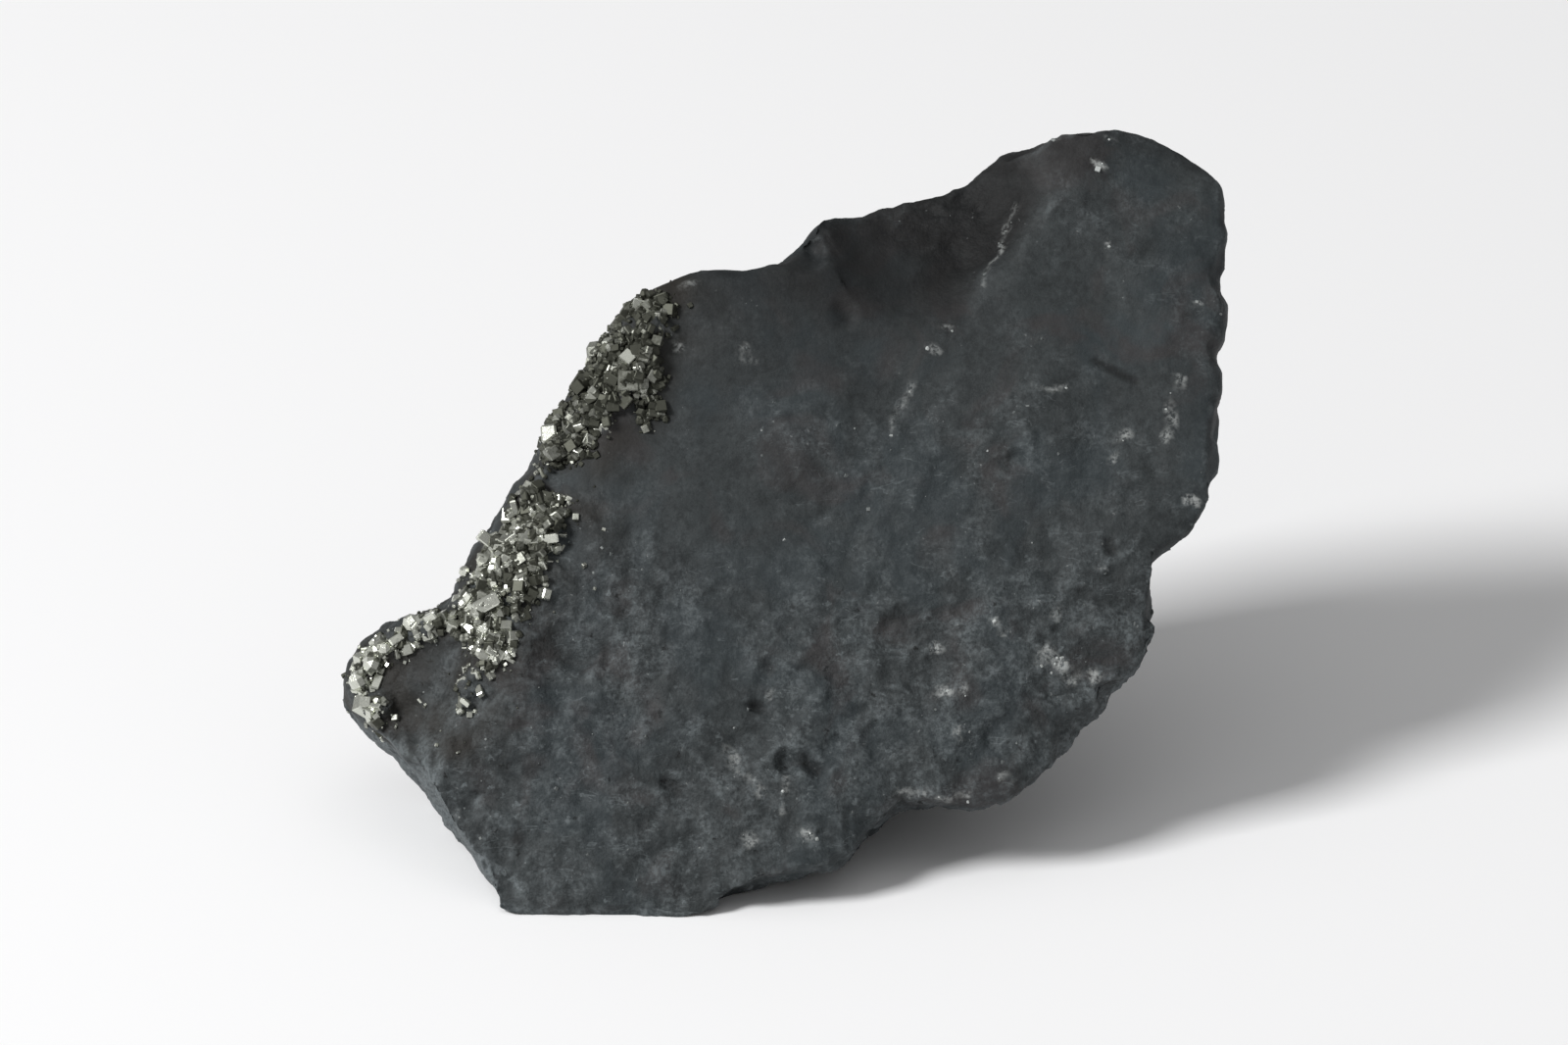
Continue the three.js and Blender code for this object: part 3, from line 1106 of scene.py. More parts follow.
@dataclass(frozen=True)
class EdgeChips:
    """Many small flat chips that are broken off the rock's edges.

    They have a seed, a count, spans for their reach along the rock and their depth, and a lean away from the
    rock's own direction. The rarity is how seldom large ones are. A chip is whole over the core of its reach
    and goes no further than the deepest, both as shares of its own, and it stays on its own side of an edge.
    """

    seed: int
    count: int
    reach: Span
    depth: Span
    lean: float
    rarity: float = 1.5
    core: float = 0.6
    deepest: float = 1.3
    same_side: Span = (0.0, 0.4)

    def drawn(self, chance: np.random.Generator, span: Span) -> float:
        """Draws a length from a span of millimetres, a small one more often, and gives it in metres."""
        return MM * between(span, chance.random() ** self.rarity)

    def strike(self, surface: Surface, edge: np.ndarray) -> None:
        """Breaks the chips off a surface.

        Args:
            surface: the surface, which is changed.
            edge: how much each point is on an edge that may break.
        """
        chance = np.random.default_rng(self.seed)
        normals = surface.normals()
        for index in chance.choice(len(edge), self.count, p=edge / edge.sum()):
            reach = self.drawn(chance, self.reach)
            depth = self.drawn(chance, self.depth)
            outward = normals[index] + self.lean * chance.normal(size=3)
            outward /= np.linalg.norm(outward)
            spoke = surface.points - surface.points[index]
            near = smoothstep(reach, self.core * reach, np.linalg.norm(spoke, axis=1))
            over = np.clip(spoke @ outward + depth, 0, self.deepest * depth)
            over *= smoothstep(*self.same_side, normals @ outward)
            surface.points -= (near * over)[:, None] * outward


@dataclass(frozen=True)
class RimNick:
    """A shallow bite out of the right-hand rim: how far up the face it is, its half height and its depth.

    The core is the share of its half height over which it is as deep as it gets.
    """

    v: float
    half: float
    depth: float
    core: float = 0.2

    def bite(self, uvw: np.ndarray) -> np.ndarray:
        """Gives how far it moves each place to the left, in millimetres."""
        return self.depth * smoothstep(self.half, self.core * self.half, np.abs(uvw[:, 1] - self.v))


@dataclass(frozen=True)
class Pock:
    """A small pit or crack in the broad face: its ends, its width to either side and its depth.

    The core is the share of its width over which it is as deep as it gets.
    """

    start: Spot
    end: Spot
    width: float
    depth: float
    core: float = 0.1

    def nearness(self, uvw: np.ndarray) -> np.ndarray:
        """Gives 1 along the middle of the pock and 0 outside it."""
        return smoothstep(self.width, self.core * self.width, line_distance(uvw, self.start, self.end))


@dataclass(frozen=True)
class GrainPatch:
    """A patch of grains along a line on the face: its ends, its spread to either side and their count.

    The cover, from 0 to 1, is how thickly finer grains lie between them, and the core is the share of the
    spread over which they are thickest.
    """

    start: Spot
    end: Spot
    spread: float
    count: int
    cover: float = 1.0
    core: float = 0.5

    def richness(self) -> float:
        """Gives how thickly the patch is strewn, from 0 to 1."""
        least, by_grain, margin = 0.25, 0.12, 0.4
        length = math.dist(self.start, self.end)
        return min(1.0, least + by_grain * self.count / (length + self.spread + margin))

    def nearness(self, uvw: np.ndarray, margin: float) -> np.ndarray:
        """Gives 1 inside the patch and 0 outside it.

        Args:
            uvw: the places to read, in the face's directions.
            margin: how far the patch reaches beyond its grains, in millimetres.

        Returns:
            The mask.
        """
        away = line_distance(uvw, self.start, self.end)
        return smoothstep(self.spread + margin, self.spread * self.core, away)


PYRITE_PATCHES = (
    GrainPatch((-9.2, 13.0), (-14.4, 5.2), 1.8, 26, 0.7),
    GrainPatch((-14.8, 4.8), (-16.8, 1.6), 0.4, 5, 0.35),
    GrainPatch((-15.8, 0.4), (-19.2, -6.0), 2.1, 28, 1.0),
    GrainPatch((-18.8, -7.4), (-20.6, -11.6), 0.4, 5, 0.4),
    GrainPatch((-22.2, -5.8), (-26.6, -7.8), 0.7, 10, 0.5),
    GrainPatch((-27.4, -8.6), (-25.8, -11.8), 0.5, 6, 0.35),
)

# Where the pyrite is finer only: below the first cluster, and down from the third.
GRAIN_PATCHES = (
    GrainPatch((-9.4, 11.0), (-9.4, 7.0), 0.8, 0, 0.55),
    GrainPatch((-17.6, -5.5), (-18.9, -9.0), 0.7, 0, 0.55),
)

# The bare brown rock between the tip's crystals and the end of the third cluster, a recess whose dark brown
# is partly painted shade.
BARE_MATRIX = GrainPatch((-24.6, -9.6), (-20.8, -12.2), 2.0, 0)

# The largest, brightest crystals: where each sits on the face (u, v) and its edge.
BRIGHT_CRYSTALS = (
    # The first cluster.
    (-15.3, 5.9, 1.17), (-10.5, 10.1, 0.86), (-11.6, 11.4, 0.86), (-9.8, 13.9, 0.70), (-12.6, 8.2, 0.70),
    (-9.6, 8.4, 0.62),
    # The third, and the thin stretch down from it.
    (-16.3, 0.9, 0.78), (-19.1, -0.9, 1.01), (-15.4, -1.0, 0.86), (-14.9, -1.6, 0.70), (-17.8, -2.3, 0.78),
    (-20.6, -2.7, 0.70), (-16.9, -3.3, 0.70), (-15.6, -4.5, 0.86), (-19.3, -5.2, 1.25), (-18.3, -5.6, 0.86),
    (-18.7, -8.2, 0.86), (-19.6, -10.6, 0.62),
    # The tip.
    (-23.8, -5.9, 1.09), (-22.7, -5.7, 0.70), (-26.4, -8.1, 1.17), (-25.6, -7.4, 0.78), (-27.3, -9.3, 1.09),
    (-26.1, -9.4, 0.78), (-26.8, -10.8, 0.70),
)

# Where pale mineral grains show on the broad face: a line's two ends, its spread and the grains' count.
FLECK_PATCHES = tuple(
    GrainPatch((u, v), (end_u, end_v), spread, count)
    for u, v, end_u, end_v, spread, count in (
        # On the round lobe.
        (18.9, 22.9, 19.1, 22.8, 0.30, 6), (19.4, 24.5, 19.7, 24.4, 0.15, 2),
        (15.7, 24.6, 16.4, 24.7, 0.15, 2), (19.6, 17.9, 19.6, 17.0, 0.20, 5),
        # Down from the hollow, in broken lines.
        (13.9, 20.2, 12.1, 16.4, 0.12, 18), (12.1, 16.4, 11.4, 15.0, 0.12, 3),
        (9.0, 12.0, 10.0, 12.1, 0.15, 5), (8.4, 10.9, 8.6, 11.0, 0.20, 3), (7.3, 9.2, 5.9, 5.2, 0.14, 9),
        # By the right-hand rim.
        (14.7, 8.4, 16.9, 8.5, 0.20, 6), (15.0, 11.7, 15.4, 11.6, 0.30, 3),
        (24.6, 13.9, 25.1, 13.9, 0.15, 3), (19.7, 4.2, 20.7, 5.5, 0.30, 7), (23.1, 5.2, 23.8, 9.0, 0.40, 10),
        (24.4, 1.4, 24.8, 1.3, 0.30, 4), (19.1, -3.1, 19.2, -3.2, 0.15, 2),
        # In the granular stretch at the lower right.
        (12.2, -6.2, 12.5, -6.9, 0.22, 6), (8.4, -7.9, 8.8, -8.1, 0.30, 6),
        (15.4, -8.5, 17.2, -9.6, 0.65, 26), (18.5, -9.6, 18.7, -9.9, 0.30, 5),
        (16.0, -5.3, 16.3, -5.9, 0.30, 4), (9.0, -10.7, 10.3, -10.7, 0.40, 10),
        (10.1, -13.0, 10.1, -13.5, 0.30, 5), (12.6, -15.9, 13.0, -16.0, 0.40, 5),
        # Along the lower edge.
        (0.2, -19.4, 1.1, -19.7, 0.32, 9), (-0.7, -16.5, -0.6, -18.0, 0.25, 6),
        (-1.8, -10.8, -1.7, -11.1, 0.20, 3), (6.4, -17.1, 10.6, -17.3, 0.18, 11),
        (-4.2, -14.7, -2.4, -16.7, 0.55, 10), (-3.5, -19.7, -3.0, -20.0, 0.40, 5),
        (-20.9, -18.3, -20.2, -20.1, 0.12, 6),
        # Beside the first pyrite cluster.
        (-8.0, 12.4, -7.4, 10.9, 0.30, 5), (-6.9, 15.1, -6.1, 15.3, 0.25, 4),
        (-3.1, 10.9, -2.9, 10.3, 0.30, 3),
    )
)


@dataclass(frozen=True)
class CrustZones:
    """Where fine pyrite grows and where the rock round it is dark brown, its own brown made darker as painted
    shade between the crystals: both on a bevel of the left edge.

    The bevel has a point (u, v), a way that it turns and a lean.
    """

    point: Spot = (-10.6, 8.4)
    turn: float = math.radians(158)
    lean: float = math.radians(33)
    crust_margin: float = 0.7
    crust_depth: Span = (3.8, 2.2)
    crust_mottle: float = 1.2
    matrix_margin: float = 4.5
    bare_margin: float = 2.0
    matrix_depth: Span = (4.0, 1.5)
    matrix_and_gap_shade_share: float = 0.8
    matrix_mottle: float = 1.3

    def below(self, uvw: np.ndarray) -> np.ndarray:
        """Gives how deep places lie under the bevel.

        Args:
            uvw: the places, in the face's directions.

        Returns:
            The depths, in millimetres.
        """
        lean = math.sin(self.lean)
        bevel = np.array([lean * math.cos(self.turn), lean * math.sin(self.turn), math.cos(self.lean)])
        return bevel[0] * self.point[0] + bevel[1] * self.point[1] - uvw @ bevel

    def crust(self, uvw: np.ndarray, patchy: np.ndarray) -> np.ndarray:
        """Gives how thickly fine pyrite grows.

        Args:
            uvw: the places, in the face's directions.
            patchy: the noise that mottles it.

        Returns:
            The mask.
        """
        patches = PYRITE_PATCHES + GRAIN_PATCHES
        near = np.max([patch.cover * patch.nearness(uvw, self.crust_margin) for patch in patches], axis=0)
        front = smoothstep(*self.crust_depth, self.below(uvw))
        return np.clip(near * front * (1.0 + self.crust_mottle * patchy), 0, 1)

    def matrix(self, uvw: np.ndarray, patchy: np.ndarray) -> np.ndarray:
        """Gives how dark brown the rock is: its own brown, with painted shade between the crystals.

        Args:
            uvw: the places, in the face's directions.
            patchy: the noise that mottles it.

        Returns:
            The mask.
        """
        around = np.max([patch.nearness(uvw, self.matrix_margin) for patch in PYRITE_PATCHES], axis=0)
        around = np.maximum(around, BARE_MATRIX.nearness(uvw, self.bare_margin))
        mottled = self.matrix_and_gap_shade_share + self.matrix_mottle * patchy
        return np.clip(around * smoothstep(*self.matrix_depth, self.below(uvw)) * mottled, 0, 1)


@dataclass(frozen=True)
class PaintedShadeBand:
    """Painted shade over the top of the face: most of all in the hollow, left of the round lobe's rim.

    The rim is a line through a point (u, v); leftward is the direction away from it.
    """

    point: Spot = (13.9, 20.9)
    leftward: Spot = (-0.931, 0.365)
    rim_edge: Span = (-0.5, 0.9)
    high_up: Fade = Fade(0.42, 10.5, 16.0)
    upper_half: Fade = Fade(0.32, 5.0, 14.0)
    by_rim: Fade = Fade(0.16, 8.0, 2.5)
    by_rim_height: Span = (10.0, 15.0)
    left_end: Fade = Fade(0.15, 2.0, -6.0)
    on_lobe: Fade = Fade(0.40, 20.5, 25.0)
    mottle: float = 0.35
    mottle_size: float = 2.8
    front: Span = (-0.3, 0.2)

    def mask(self, uvw: np.ndarray, facing: np.ndarray) -> np.ndarray:
        """Gives how dark the painted shade is.

        Args:
            uvw: the places, in the face's directions.
            facing: how much each place looks the way that the face does.

        Returns:
            The mask, from 0 for none.
        """
        u, v = uvw[:, 0], uvw[:, 1]
        across = (u - self.point[0]) * self.leftward[0] + (v - self.point[1]) * self.leftward[1]
        band = self.high_up.at(v) + self.upper_half.at(v)
        band += self.by_rim.at(across) * smoothstep(*self.by_rim_height, v)
        band *= smoothstep(*self.rim_edge, across) * (1 - self.left_end.at(u))
        cloudy = 1 + self.mottle * cloud(uvw, self.mottle_size)
        return np.clip(np.maximum(band, self.on_lobe.at(v)) * cloudy, 0, 1) * smoothstep(*self.front, facing)


@dataclass(frozen=True)
class PaintedShadeZone:
    """Painted shade, black: in the scoops under the top rim, in the band over the top of the face and in the
    pocks.
    """

    scoops: Sequence[Scoop] = (
        Scoop((7.4, 22.8, 8.4), 12.2),
        Scoop((9.3, 21.3, 4.7), 7.8),
        Scoop((7.4, 17.6, 6.7), 8.5),
    )
    shade_band: PaintedShadeBand = PaintedShadeBand()
    depth: Span = (-0.1, -1.6)
    front: Span = (-0.25, 0.2)
    middle: Spot = (11.2, 19.0)
    reach: Spot = (9.5, 6.5)
    edge: Span = (1.05, 0.35)
    painted_shade_in_pocks: float = 0.7

    def mask(self, uvw: np.ndarray, facing: np.ndarray, pocks: Sequence[Pock]) -> np.ndarray:
        """Gives how black the painted shade makes the rock.

        Args:
            uvw: the places, in the face's directions.
            facing: how much each place looks the way that the face does.
            pocks: the pits and cracks of the face.

        Returns:
            The mask.
        """
        black = np.max([scoop.nearness(uvw) for scoop in self.scoops], axis=0)
        black *= smoothstep(*self.depth, uvw[:, 2]) * smoothstep(*self.front, facing)
        spread = (uvw[:, :2] - np.array(self.middle)) / np.array(self.reach)
        black *= smoothstep(*self.edge, np.linalg.norm(spread, axis=1))
        black = np.maximum(black, self.shade_band.mask(uvw, facing))
        # The pocks are dents; their black is painted shade on top of that.
        for pock in pocks:
            black = np.maximum(black, self.painted_shade_in_pocks * smoothstep(*FACING, facing) * pock.nearness(uvw))
        return black


@dataclass(frozen=True)
class FleckZone:
    """Where pale minerals show on the broad face: in the fleck patches, frayed."""

    bend: float = 0.5
    bend_size: float = 1.5
    margin: float = 0.10
    share: float = 0.7
    mottle: float = 1.8
    mottle_size: float = 0.9

    def mask(self, uvw: np.ndarray, facing: np.ndarray) -> np.ndarray:
        """Gives how pale the rock is.

        Args:
            uvw: the places, in the face's directions.
            facing: how much each place looks the way that the face does.

        Returns:
            The mask.
        """
        bent = uvw + self.bend * np.array([noise.noise_vector(Vector(p) / self.bend_size) for p in uvw])
        strewn = [patch.nearness(bent, self.margin) * patch.richness() for patch in FLECK_PATCHES]
        mottled = self.share + self.mottle * cloud(uvw, self.mottle_size)
        return np.clip(smoothstep(*FACING, facing) * np.max(strewn, axis=0) * mottled, 0, 1)


@dataclass(frozen=True)
class RoughZone:
    """Where the rock is rough: low on the face, behind it and in a granular stretch at its lower right."""

    # Rougher low on the face; as the dust thickens with roughness, this also makes the face lighter towards
    # the bottom, which is partly painted light.
    low: Fade = Fade(0.7, 4.0, -9.0)
    behind: Fade = Fade(0.7, -2.0, -5.0)
    granular_middle: Spot = (14.5, -8.0)
    granular: Fade = Fade(1.0, 11.0, 5.0)
    granular_frayed: float = 4.0
    granular_share: float = 0.3
    granular_evenness: float = 0.7
    least: float = 0.15
    swing: float = 0.6
    swing_size: float = 9.0
    swing_shift: tuple[float, float, float] = (5.0, 0.0, 0.0)

    def mask(self, uvw: np.ndarray, patchy: np.ndarray) -> np.ndarray:
        """Gives how rough the rock is.

        Args:
            uvw: the places, in the face's directions.
            patchy: the noise that frays the granular stretch.

        Returns:
            The mask.
        """
        wide = cloud(uvw, self.swing_size, self.swing_shift)
        away = np.linalg.norm(uvw[:, :2] - np.array(self.granular_middle), axis=1)
        granular = self.granular.at(away + self.granular_frayed * patchy)
        rough = np.maximum(self.low.at(uvw[:, 1]), self.behind.at(uvw[:, 2]))
        rough += self.granular_share * granular
        swing = self.swing * wide * (1 - self.granular_evenness * granular)
        return np.clip(self.least + rough + swing, 0, 1)


@dataclass(frozen=True)
class WearAndHighlightZone:
    """Where the rock is pale: on its edges, partly wear and partly painted highlight, and on the flank under
    the tip, painted light bounced off the ground.
    """

    edges: Span = (0.012, 0.07)
    leftward: Span = (0.30, 0.65)
    left: Span = (-12.0, -17.0)
    # The flank's pale is painted light bounced off the ground, stronger low down.
    low: Fade = Fade(1.5, -8.0, -13.0)

    def mask(self, surface: Surface) -> np.ndarray:
        """Gives how pale the rock is, by wear and painted light.

        Args:
            surface: the rock's surface.

        Returns:
            The mask, above 1 on the flank.
        """
        u, v = to_face(surface.points).T[:2]
        ground_lit_flank = smoothstep(*self.leftward, -surface.normals()[:, 0]) * smoothstep(*self.left, u)
        return np.maximum(surface.ridges(self.edges), ground_lit_flank * self.low.at(v))


@dataclass
class BrokenRock:
    """The rock itself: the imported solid, made fine and uneven."""

    cell: float = 0.275 * MM
    crease: float = math.radians(27)
    weld: float = 1e-7
    sorted_to: float = 0.01
    smoothing: int = 45
    flat_below: float = 0.7
    patch_size: float = 2.4
    zones: CrustZones = CrustZones()
    painted_shade: PaintedShadeZone = PaintedShadeZone()
    flecks: FleckZone = FleckZone()
    roughness: RoughZone = RoughZone()
    wear_and_highlight: WearAndHighlightZone = WearAndHighlightZone()
    chipping: float = 0.42
    crumbling_ridges: Span = (0.02, 0.09)
    crumb_sizes: Span = (2.4, 0.9)
    fine_crumbs: float = 0.6
    crumbled_all_over: float = 0.25
    crumbled_in_places: float = 1.3
    pocks: Sequence[Pock] = (
        Pock((0.9, 17.7), (1.1, 17.0), 0.9, 0.50),
        Pock((2.9, 13.3), (3.1, 12.9), 1.0, 0.30),
        Pock((18.6, 10.2), (21.1, 8.9), 0.40, 0.16),
        Pock((19.3, -1.3), (19.5, -1.8), 0.6, 0.30),
        Pock((-11.9, -7.8), (-11.8, -8.9), 0.45, 0.40),
        Pock((-2.6, -11.6), (-2.3, -11.7), 0.6, 0.40),
        Pock((-8.0, -16.3), (-7.3, -16.8), 0.7, 0.40),
        Pock((0.3, -15.0), (1.2, -15.6), 0.8, 0.45),
        Pock((-1.9, -9.0), (-1.6, -9.3), 0.6, 0.30),
    )
    unevenness: Sequence[Unevenness] = (
        Unevenness(Layer.SWELL, 5.5, 0.40, 0.85),
        Unevenness(Layer.CRAG, 5.0, 0.27, 0.28),
        Unevenness(Layer.SWELL, 2.2, 0.20, 0.30),
        Unevenness(Layer.CRAG, 1.7, 0.17, 0.08),
        Unevenness(Layer.FACET, 1.9, 0.12, 0.08),
        Unevenness(Layer.SWELL, 0.8, 0.08, 0.20),
        Unevenness(Layer.PIT, 1.4, 0.26, 0.0),
    )
    nicks: Sequence[RimNick] = (
        RimNick(19.6, 1.0, 0.22),
        RimNick(15.4, 1.5, 0.50),
        RimNick(10.8, 1.3, 0.42),
        RimNick(7.6, 0.8, 0.25),
        RimNick(2.4, 1.0, 0.40),
        RimNick(-6.2, 1.0, 0.35),
    )
    nicked_rightward: Span = (0.1, 0.6)
    nicked_depth: Span = (-14.0, -9.0)
    chips: Sequence[EdgeChips] = (
        EdgeChips(23, 130, (1.4, 3.0), (0.12, 0.50), 0.25),
        EdgeChips(24, 380, (0.8, 1.6), (0.06, 0.26), 0.30),
    )
    chipped_ridges: Span = (0.04, 0.09)
    unchipped_matrix: float = 2.0
    spike: float = 0.30
    relaxing: int = 6
    unfolding: int = 12
    surface: Surface = field(init=False)
    masks: dict[Zone, np.ndarray] = field(init=False, default_factory=dict)

    def solid_copy(self) -> bpy.types.Mesh:
        """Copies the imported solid, joins its loose triangles and marks its creases.

        Returns:
            The copy, not yet in the scene.
        """
        mesh = frame["nodes"][SOLID].data.copy()
        shape = bmesh.new()
        shape.from_mesh(mesh)
        bmesh.ops.remove_doubles(shape, verts=shape.verts, dist=self.weld)
        shape.to_mesh(mesh)
        shape.free()
        mesh.shade_smooth()
        mesh.set_sharp_from_angle(angle=self.crease)
        return mesh

    def refined(self, solid: bpy.types.Mesh) -> bpy.types.Mesh:
        """Covers the solid with small four-sided cells of one size.

        Args:
            solid: the solid's copy.

        Returns:
            The cells, in an order of their own.
        """
        holder = link("rock_cells", solid.copy())
        cells = holder.modifiers.new("cells", "REMESH")
        cells.mode = "VOXEL"
        cells.voxel_size = self.cell
        found = evaluated_mesh(holder)
        mesh = self.in_order(found)
        bpy.data.meshes.remove(found)
        return mesh

    def in_order(self, found: bpy.types.Mesh) -> bpy.types.Mesh:
        """Copies a mesh of four-sided faces with its points and faces sorted by their place.

        The cells come in an order that differs from run to run, and whatever is drawn by chance follows it.

        Args:
            found: the mesh.

        Returns:
            The sorted copy.
        """
        points = np.empty(len(found.vertices) * 3)
        found.vertices.foreach_get("co", points)
        points = points.reshape(-1, 3)
        corners = np.empty(len(found.loops), dtype=np.int64)
        found.loops.foreach_get("vertex_index", corners)
        order = np.lexsort(np.round(points / (self.sorted_to * self.cell)).T)
        place = np.empty_like(order)
        place[order] = np.arange(len(order))
        faces = place[corners].reshape(-1, 4)
        first = faces.argmin(axis=1)[:, None]
        faces = np.take_along_axis(faces, (first + np.arange(4)) % 4, axis=1)
        faces = faces[np.lexsort(faces.T[::-1])]
        mesh = bpy.data.meshes.new("cells")
        mesh.from_pydata(points[order], [], faces)
        return mesh

    def rounded_normals(self, solid: bpy.types.Mesh, places: np.ndarray) -> np.ndarray:
        """Reads the solid's directions as if it were smooth between its creases.

        Args:
            solid: the solid with its creases marked.
            places: where to read them.

        Returns:
            The outward direction at each place, of length 1.
        """
        corners = np.array([tuple(polygon.vertices) for polygon in solid.polygons])
        points = np.array([tuple(vertex.co) for vertex in solid.vertices])
        directions = np.empty(len(solid.loops) * 3)
        solid.corner_normals.foreach_get("vector", directions)
        directions = directions.reshape(-1, 3, 3)
        tree = BVHTree.FromPolygons(points.tolist(), corners.tolist())
        found = [tree.find_nearest(Vector(place)) for place in places]
        index = np.array([hit[2] for hit in found])
        place = np.array([tuple(hit[0]) for hit in found])
        a, b, c = (points[corners[index, k]] for k in range(3))
        whole = np.cross(b - a, c - a)
        area = np.maximum((whole * whole).sum(axis=1), 1e-30)
        share_b = (np.cross(place - a, c - a) * whole).sum(axis=1) / area
        share_c = (np.cross(b - a, place - a) * whole).sum(axis=1) / area
        shares = np.stack([1 - share_b - share_c, share_b, share_c], axis=1)
        mixed = (directions[index] * shares[:, :, None]).sum(axis=1)
        return mixed / np.linalg.norm(mixed, axis=1, keepdims=True)

    def paint_zones(self) -> None:
        """Works out where the pyrite, the dark brown rock with its painted gap shade, the painted black
        shade, the pale grains and the rough places are.
        """
        uvw = to_face(self.surface.points)
        facing = self.surface.normals() @ np.array(OUTWARD)
        patchy = cloud(uvw, self.patch_size)
        self.masks[Zone.PYRITE] = self.zones.crust(uvw, patchy)
        self.masks[Zone.MATRIX] = self.zones.matrix(uvw, patchy)
        self.masks[Zone.PAINTED_SHADE] = self.painted_shade.mask(uvw, facing, self.pocks)
        self.masks[Zone.PALE] = self.flecks.mask(uvw, facing)
        self.masks[Zone.ROUGH] = self.roughness.mask(uvw, patchy)

    def over_faces(self, zone: Zone) -> np.ndarray:
        """Gives the mean of a mask over each face."""
        return self.masks[zone][self.surface.faces].mean(axis=1)

    def relief(self) -> np.ndarray:
        """Gives how far the rock stands out at each point: its crumbled ridges and its layers of unevenness.

        Returns:
            The heights, in millimetres.
        """
        points = self.surface.points
        ridge = self.surface.ridges(self.crumbling_ridges)
        coarse, fine = (cloud(points, size * MM) for size in self.crumb_sizes)
        crumble = coarse + self.fine_crumbs * fine
        crumbled = np.clip(self.crumbled_all_over + self.crumbled_in_places * crumble, 0, None)
        height = -self.chipping * ridge * crumbled
        rough = self.masks[Zone.ROUGH]
        for layer in self.unevenness:
            raw = np.array([layer.at(Vector(point) / MM) for point in points])
            height += layer.height * raw * (layer.in_smooth + (1 - layer.in_smooth) * rough)
        return height

    def chip_edges(self, whole: np.ndarray) -> None:
        """Breaks chips off the edges, but not off the brown rock.

        Args:
            whole: how much of its unevenness each point takes on.
        """
        for chips in self.chips:
            ridge = self.surface.ridges(self.chipped_ridges)
            spared = np.clip(self.unchipped_matrix * self.masks[Zone.MATRIX], 0, 1)
            chips.strike(self.surface, ridge * whole * (1 - spared))

    def roughen(self) -> None:
        """Makes the smooth surface uneven, chips its edges and leaves its foot flat."""
        surface = self.surface
        normals = surface.normals()
        height = self.relief()
        whole = smoothstep(0.0, self.flat_below, surface.points[:, 2] / MM)
        uvw = to_face(surface.points)
        facing = smoothstep(*FACING, normals @ np.array(OUTWARD))
        surface.points += normals * (height * whole)[:, None] * MM
        for pock in self.pocks:
            depth = pock.depth * pock.nearness(uvw) * facing
            surface.points -= np.array(OUTWARD) * depth[:, None] * MM
        rightward = smoothstep(*self.nicked_rightward, normals[:, 0])
        rightward *= smoothstep(*self.nicked_depth, uvw[:, 2])
        bite = np.sum([nick.bite(uvw) for nick in self.nicks], axis=0)
        surface.points[:, 0] -= rightward * bite * whole * MM
        self.chip_edges(whole)
        surface.relax(self.spike * self.cell, self.relaxing)
        surface.unfold(self.unfolding)
        surface.settle()

    def build(self, finish: RockFinish) -> bpy.types.Object:
        """Builds the rock.

        Args:
            finish: what it is dressed in.

        Returns:
            The rock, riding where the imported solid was.
        """
        solid = self.solid_copy()
        mesh = self.refined(solid)
        self.surface = Surface.of(mesh)
        wanted = self.rounded_normals(solid, self.surface.middles())
        self.surface.turn_faces_to(wanted, self.smoothing)
        self.surface.settle()
        self.paint_zones()
        self.roughen()
        self.masks[Zone.EDGE] = self.wear_and_highlight.mask(self.surface)
        mesh.vertices.foreach_set("co", self.surface.points.reshape(-1))
        for zone, mask in self.masks.items():
            paint(mesh, zone, mask)
        mesh.update()
        mesh.shade_smooth()
        mesh.materials.clear()
        mesh.materials.append(finish.material())
        rock = link("broken_rock", mesh)
        bpy.data.meshes.remove(solid)
        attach(rock, BODY)
        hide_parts(SOLID)
        return rock


@dataclass(frozen=True)
class CrystalShape:
    """A cube with chamfered edges: its name, what is taken off each edge and its size along each side."""

    name: str
    chamfer: float
    sides: tuple[float, float, float]

    def build(self) -> bpy.types.Object:
        """Makes the shape.

        Returns:
            The shape, not yet in any collection.
        """
        shape = bmesh.new()
        bmesh.ops.create_cube(shape, size=1.0)
        bmesh.ops.bevel(shape, geom=shape.edges[:], offset=self.chamfer, segments=1, affect="EDGES")
        bmesh.ops.scale(shape, vec=self.sides, verts=shape.verts)
        mesh = bpy.data.meshes.new(self.name)
        shape.to_mesh(mesh)
        shape.free()
        return bpy.data.objects.new(self.name, mesh)


class CrystalShapes:
    """The few shapes that the crystals are copies of, an edge or so across."""

    KINDS = (
        CrystalShape("bar", 0.10, (1.35, 0.70, 0.60)),
        CrystalShape("block", 0.12, (1.0, 0.85, 0.70)),
        CrystalShape("blunt", 0.28, (1.05, 0.95, 0.85)),
        CrystalShape("cube", 0.05, (1.0, 1.0, 1.0)),
    )

    def __init__(self) -> None:
        """Makes the shapes, in a collection of their own that isn't in the scene."""
        self.collection = bpy.data.collections.new("crystal_shapes")
        for kind in self.KINDS:
            self.collection.objects.link(kind.build())

    def remove(self) -> None:
        """Removes the shapes, once everything that copies them is built."""
        for shape in list(self.collection.objects):
            bpy.data.objects.remove(shape)
        bpy.data.collections.remove(self.collection)


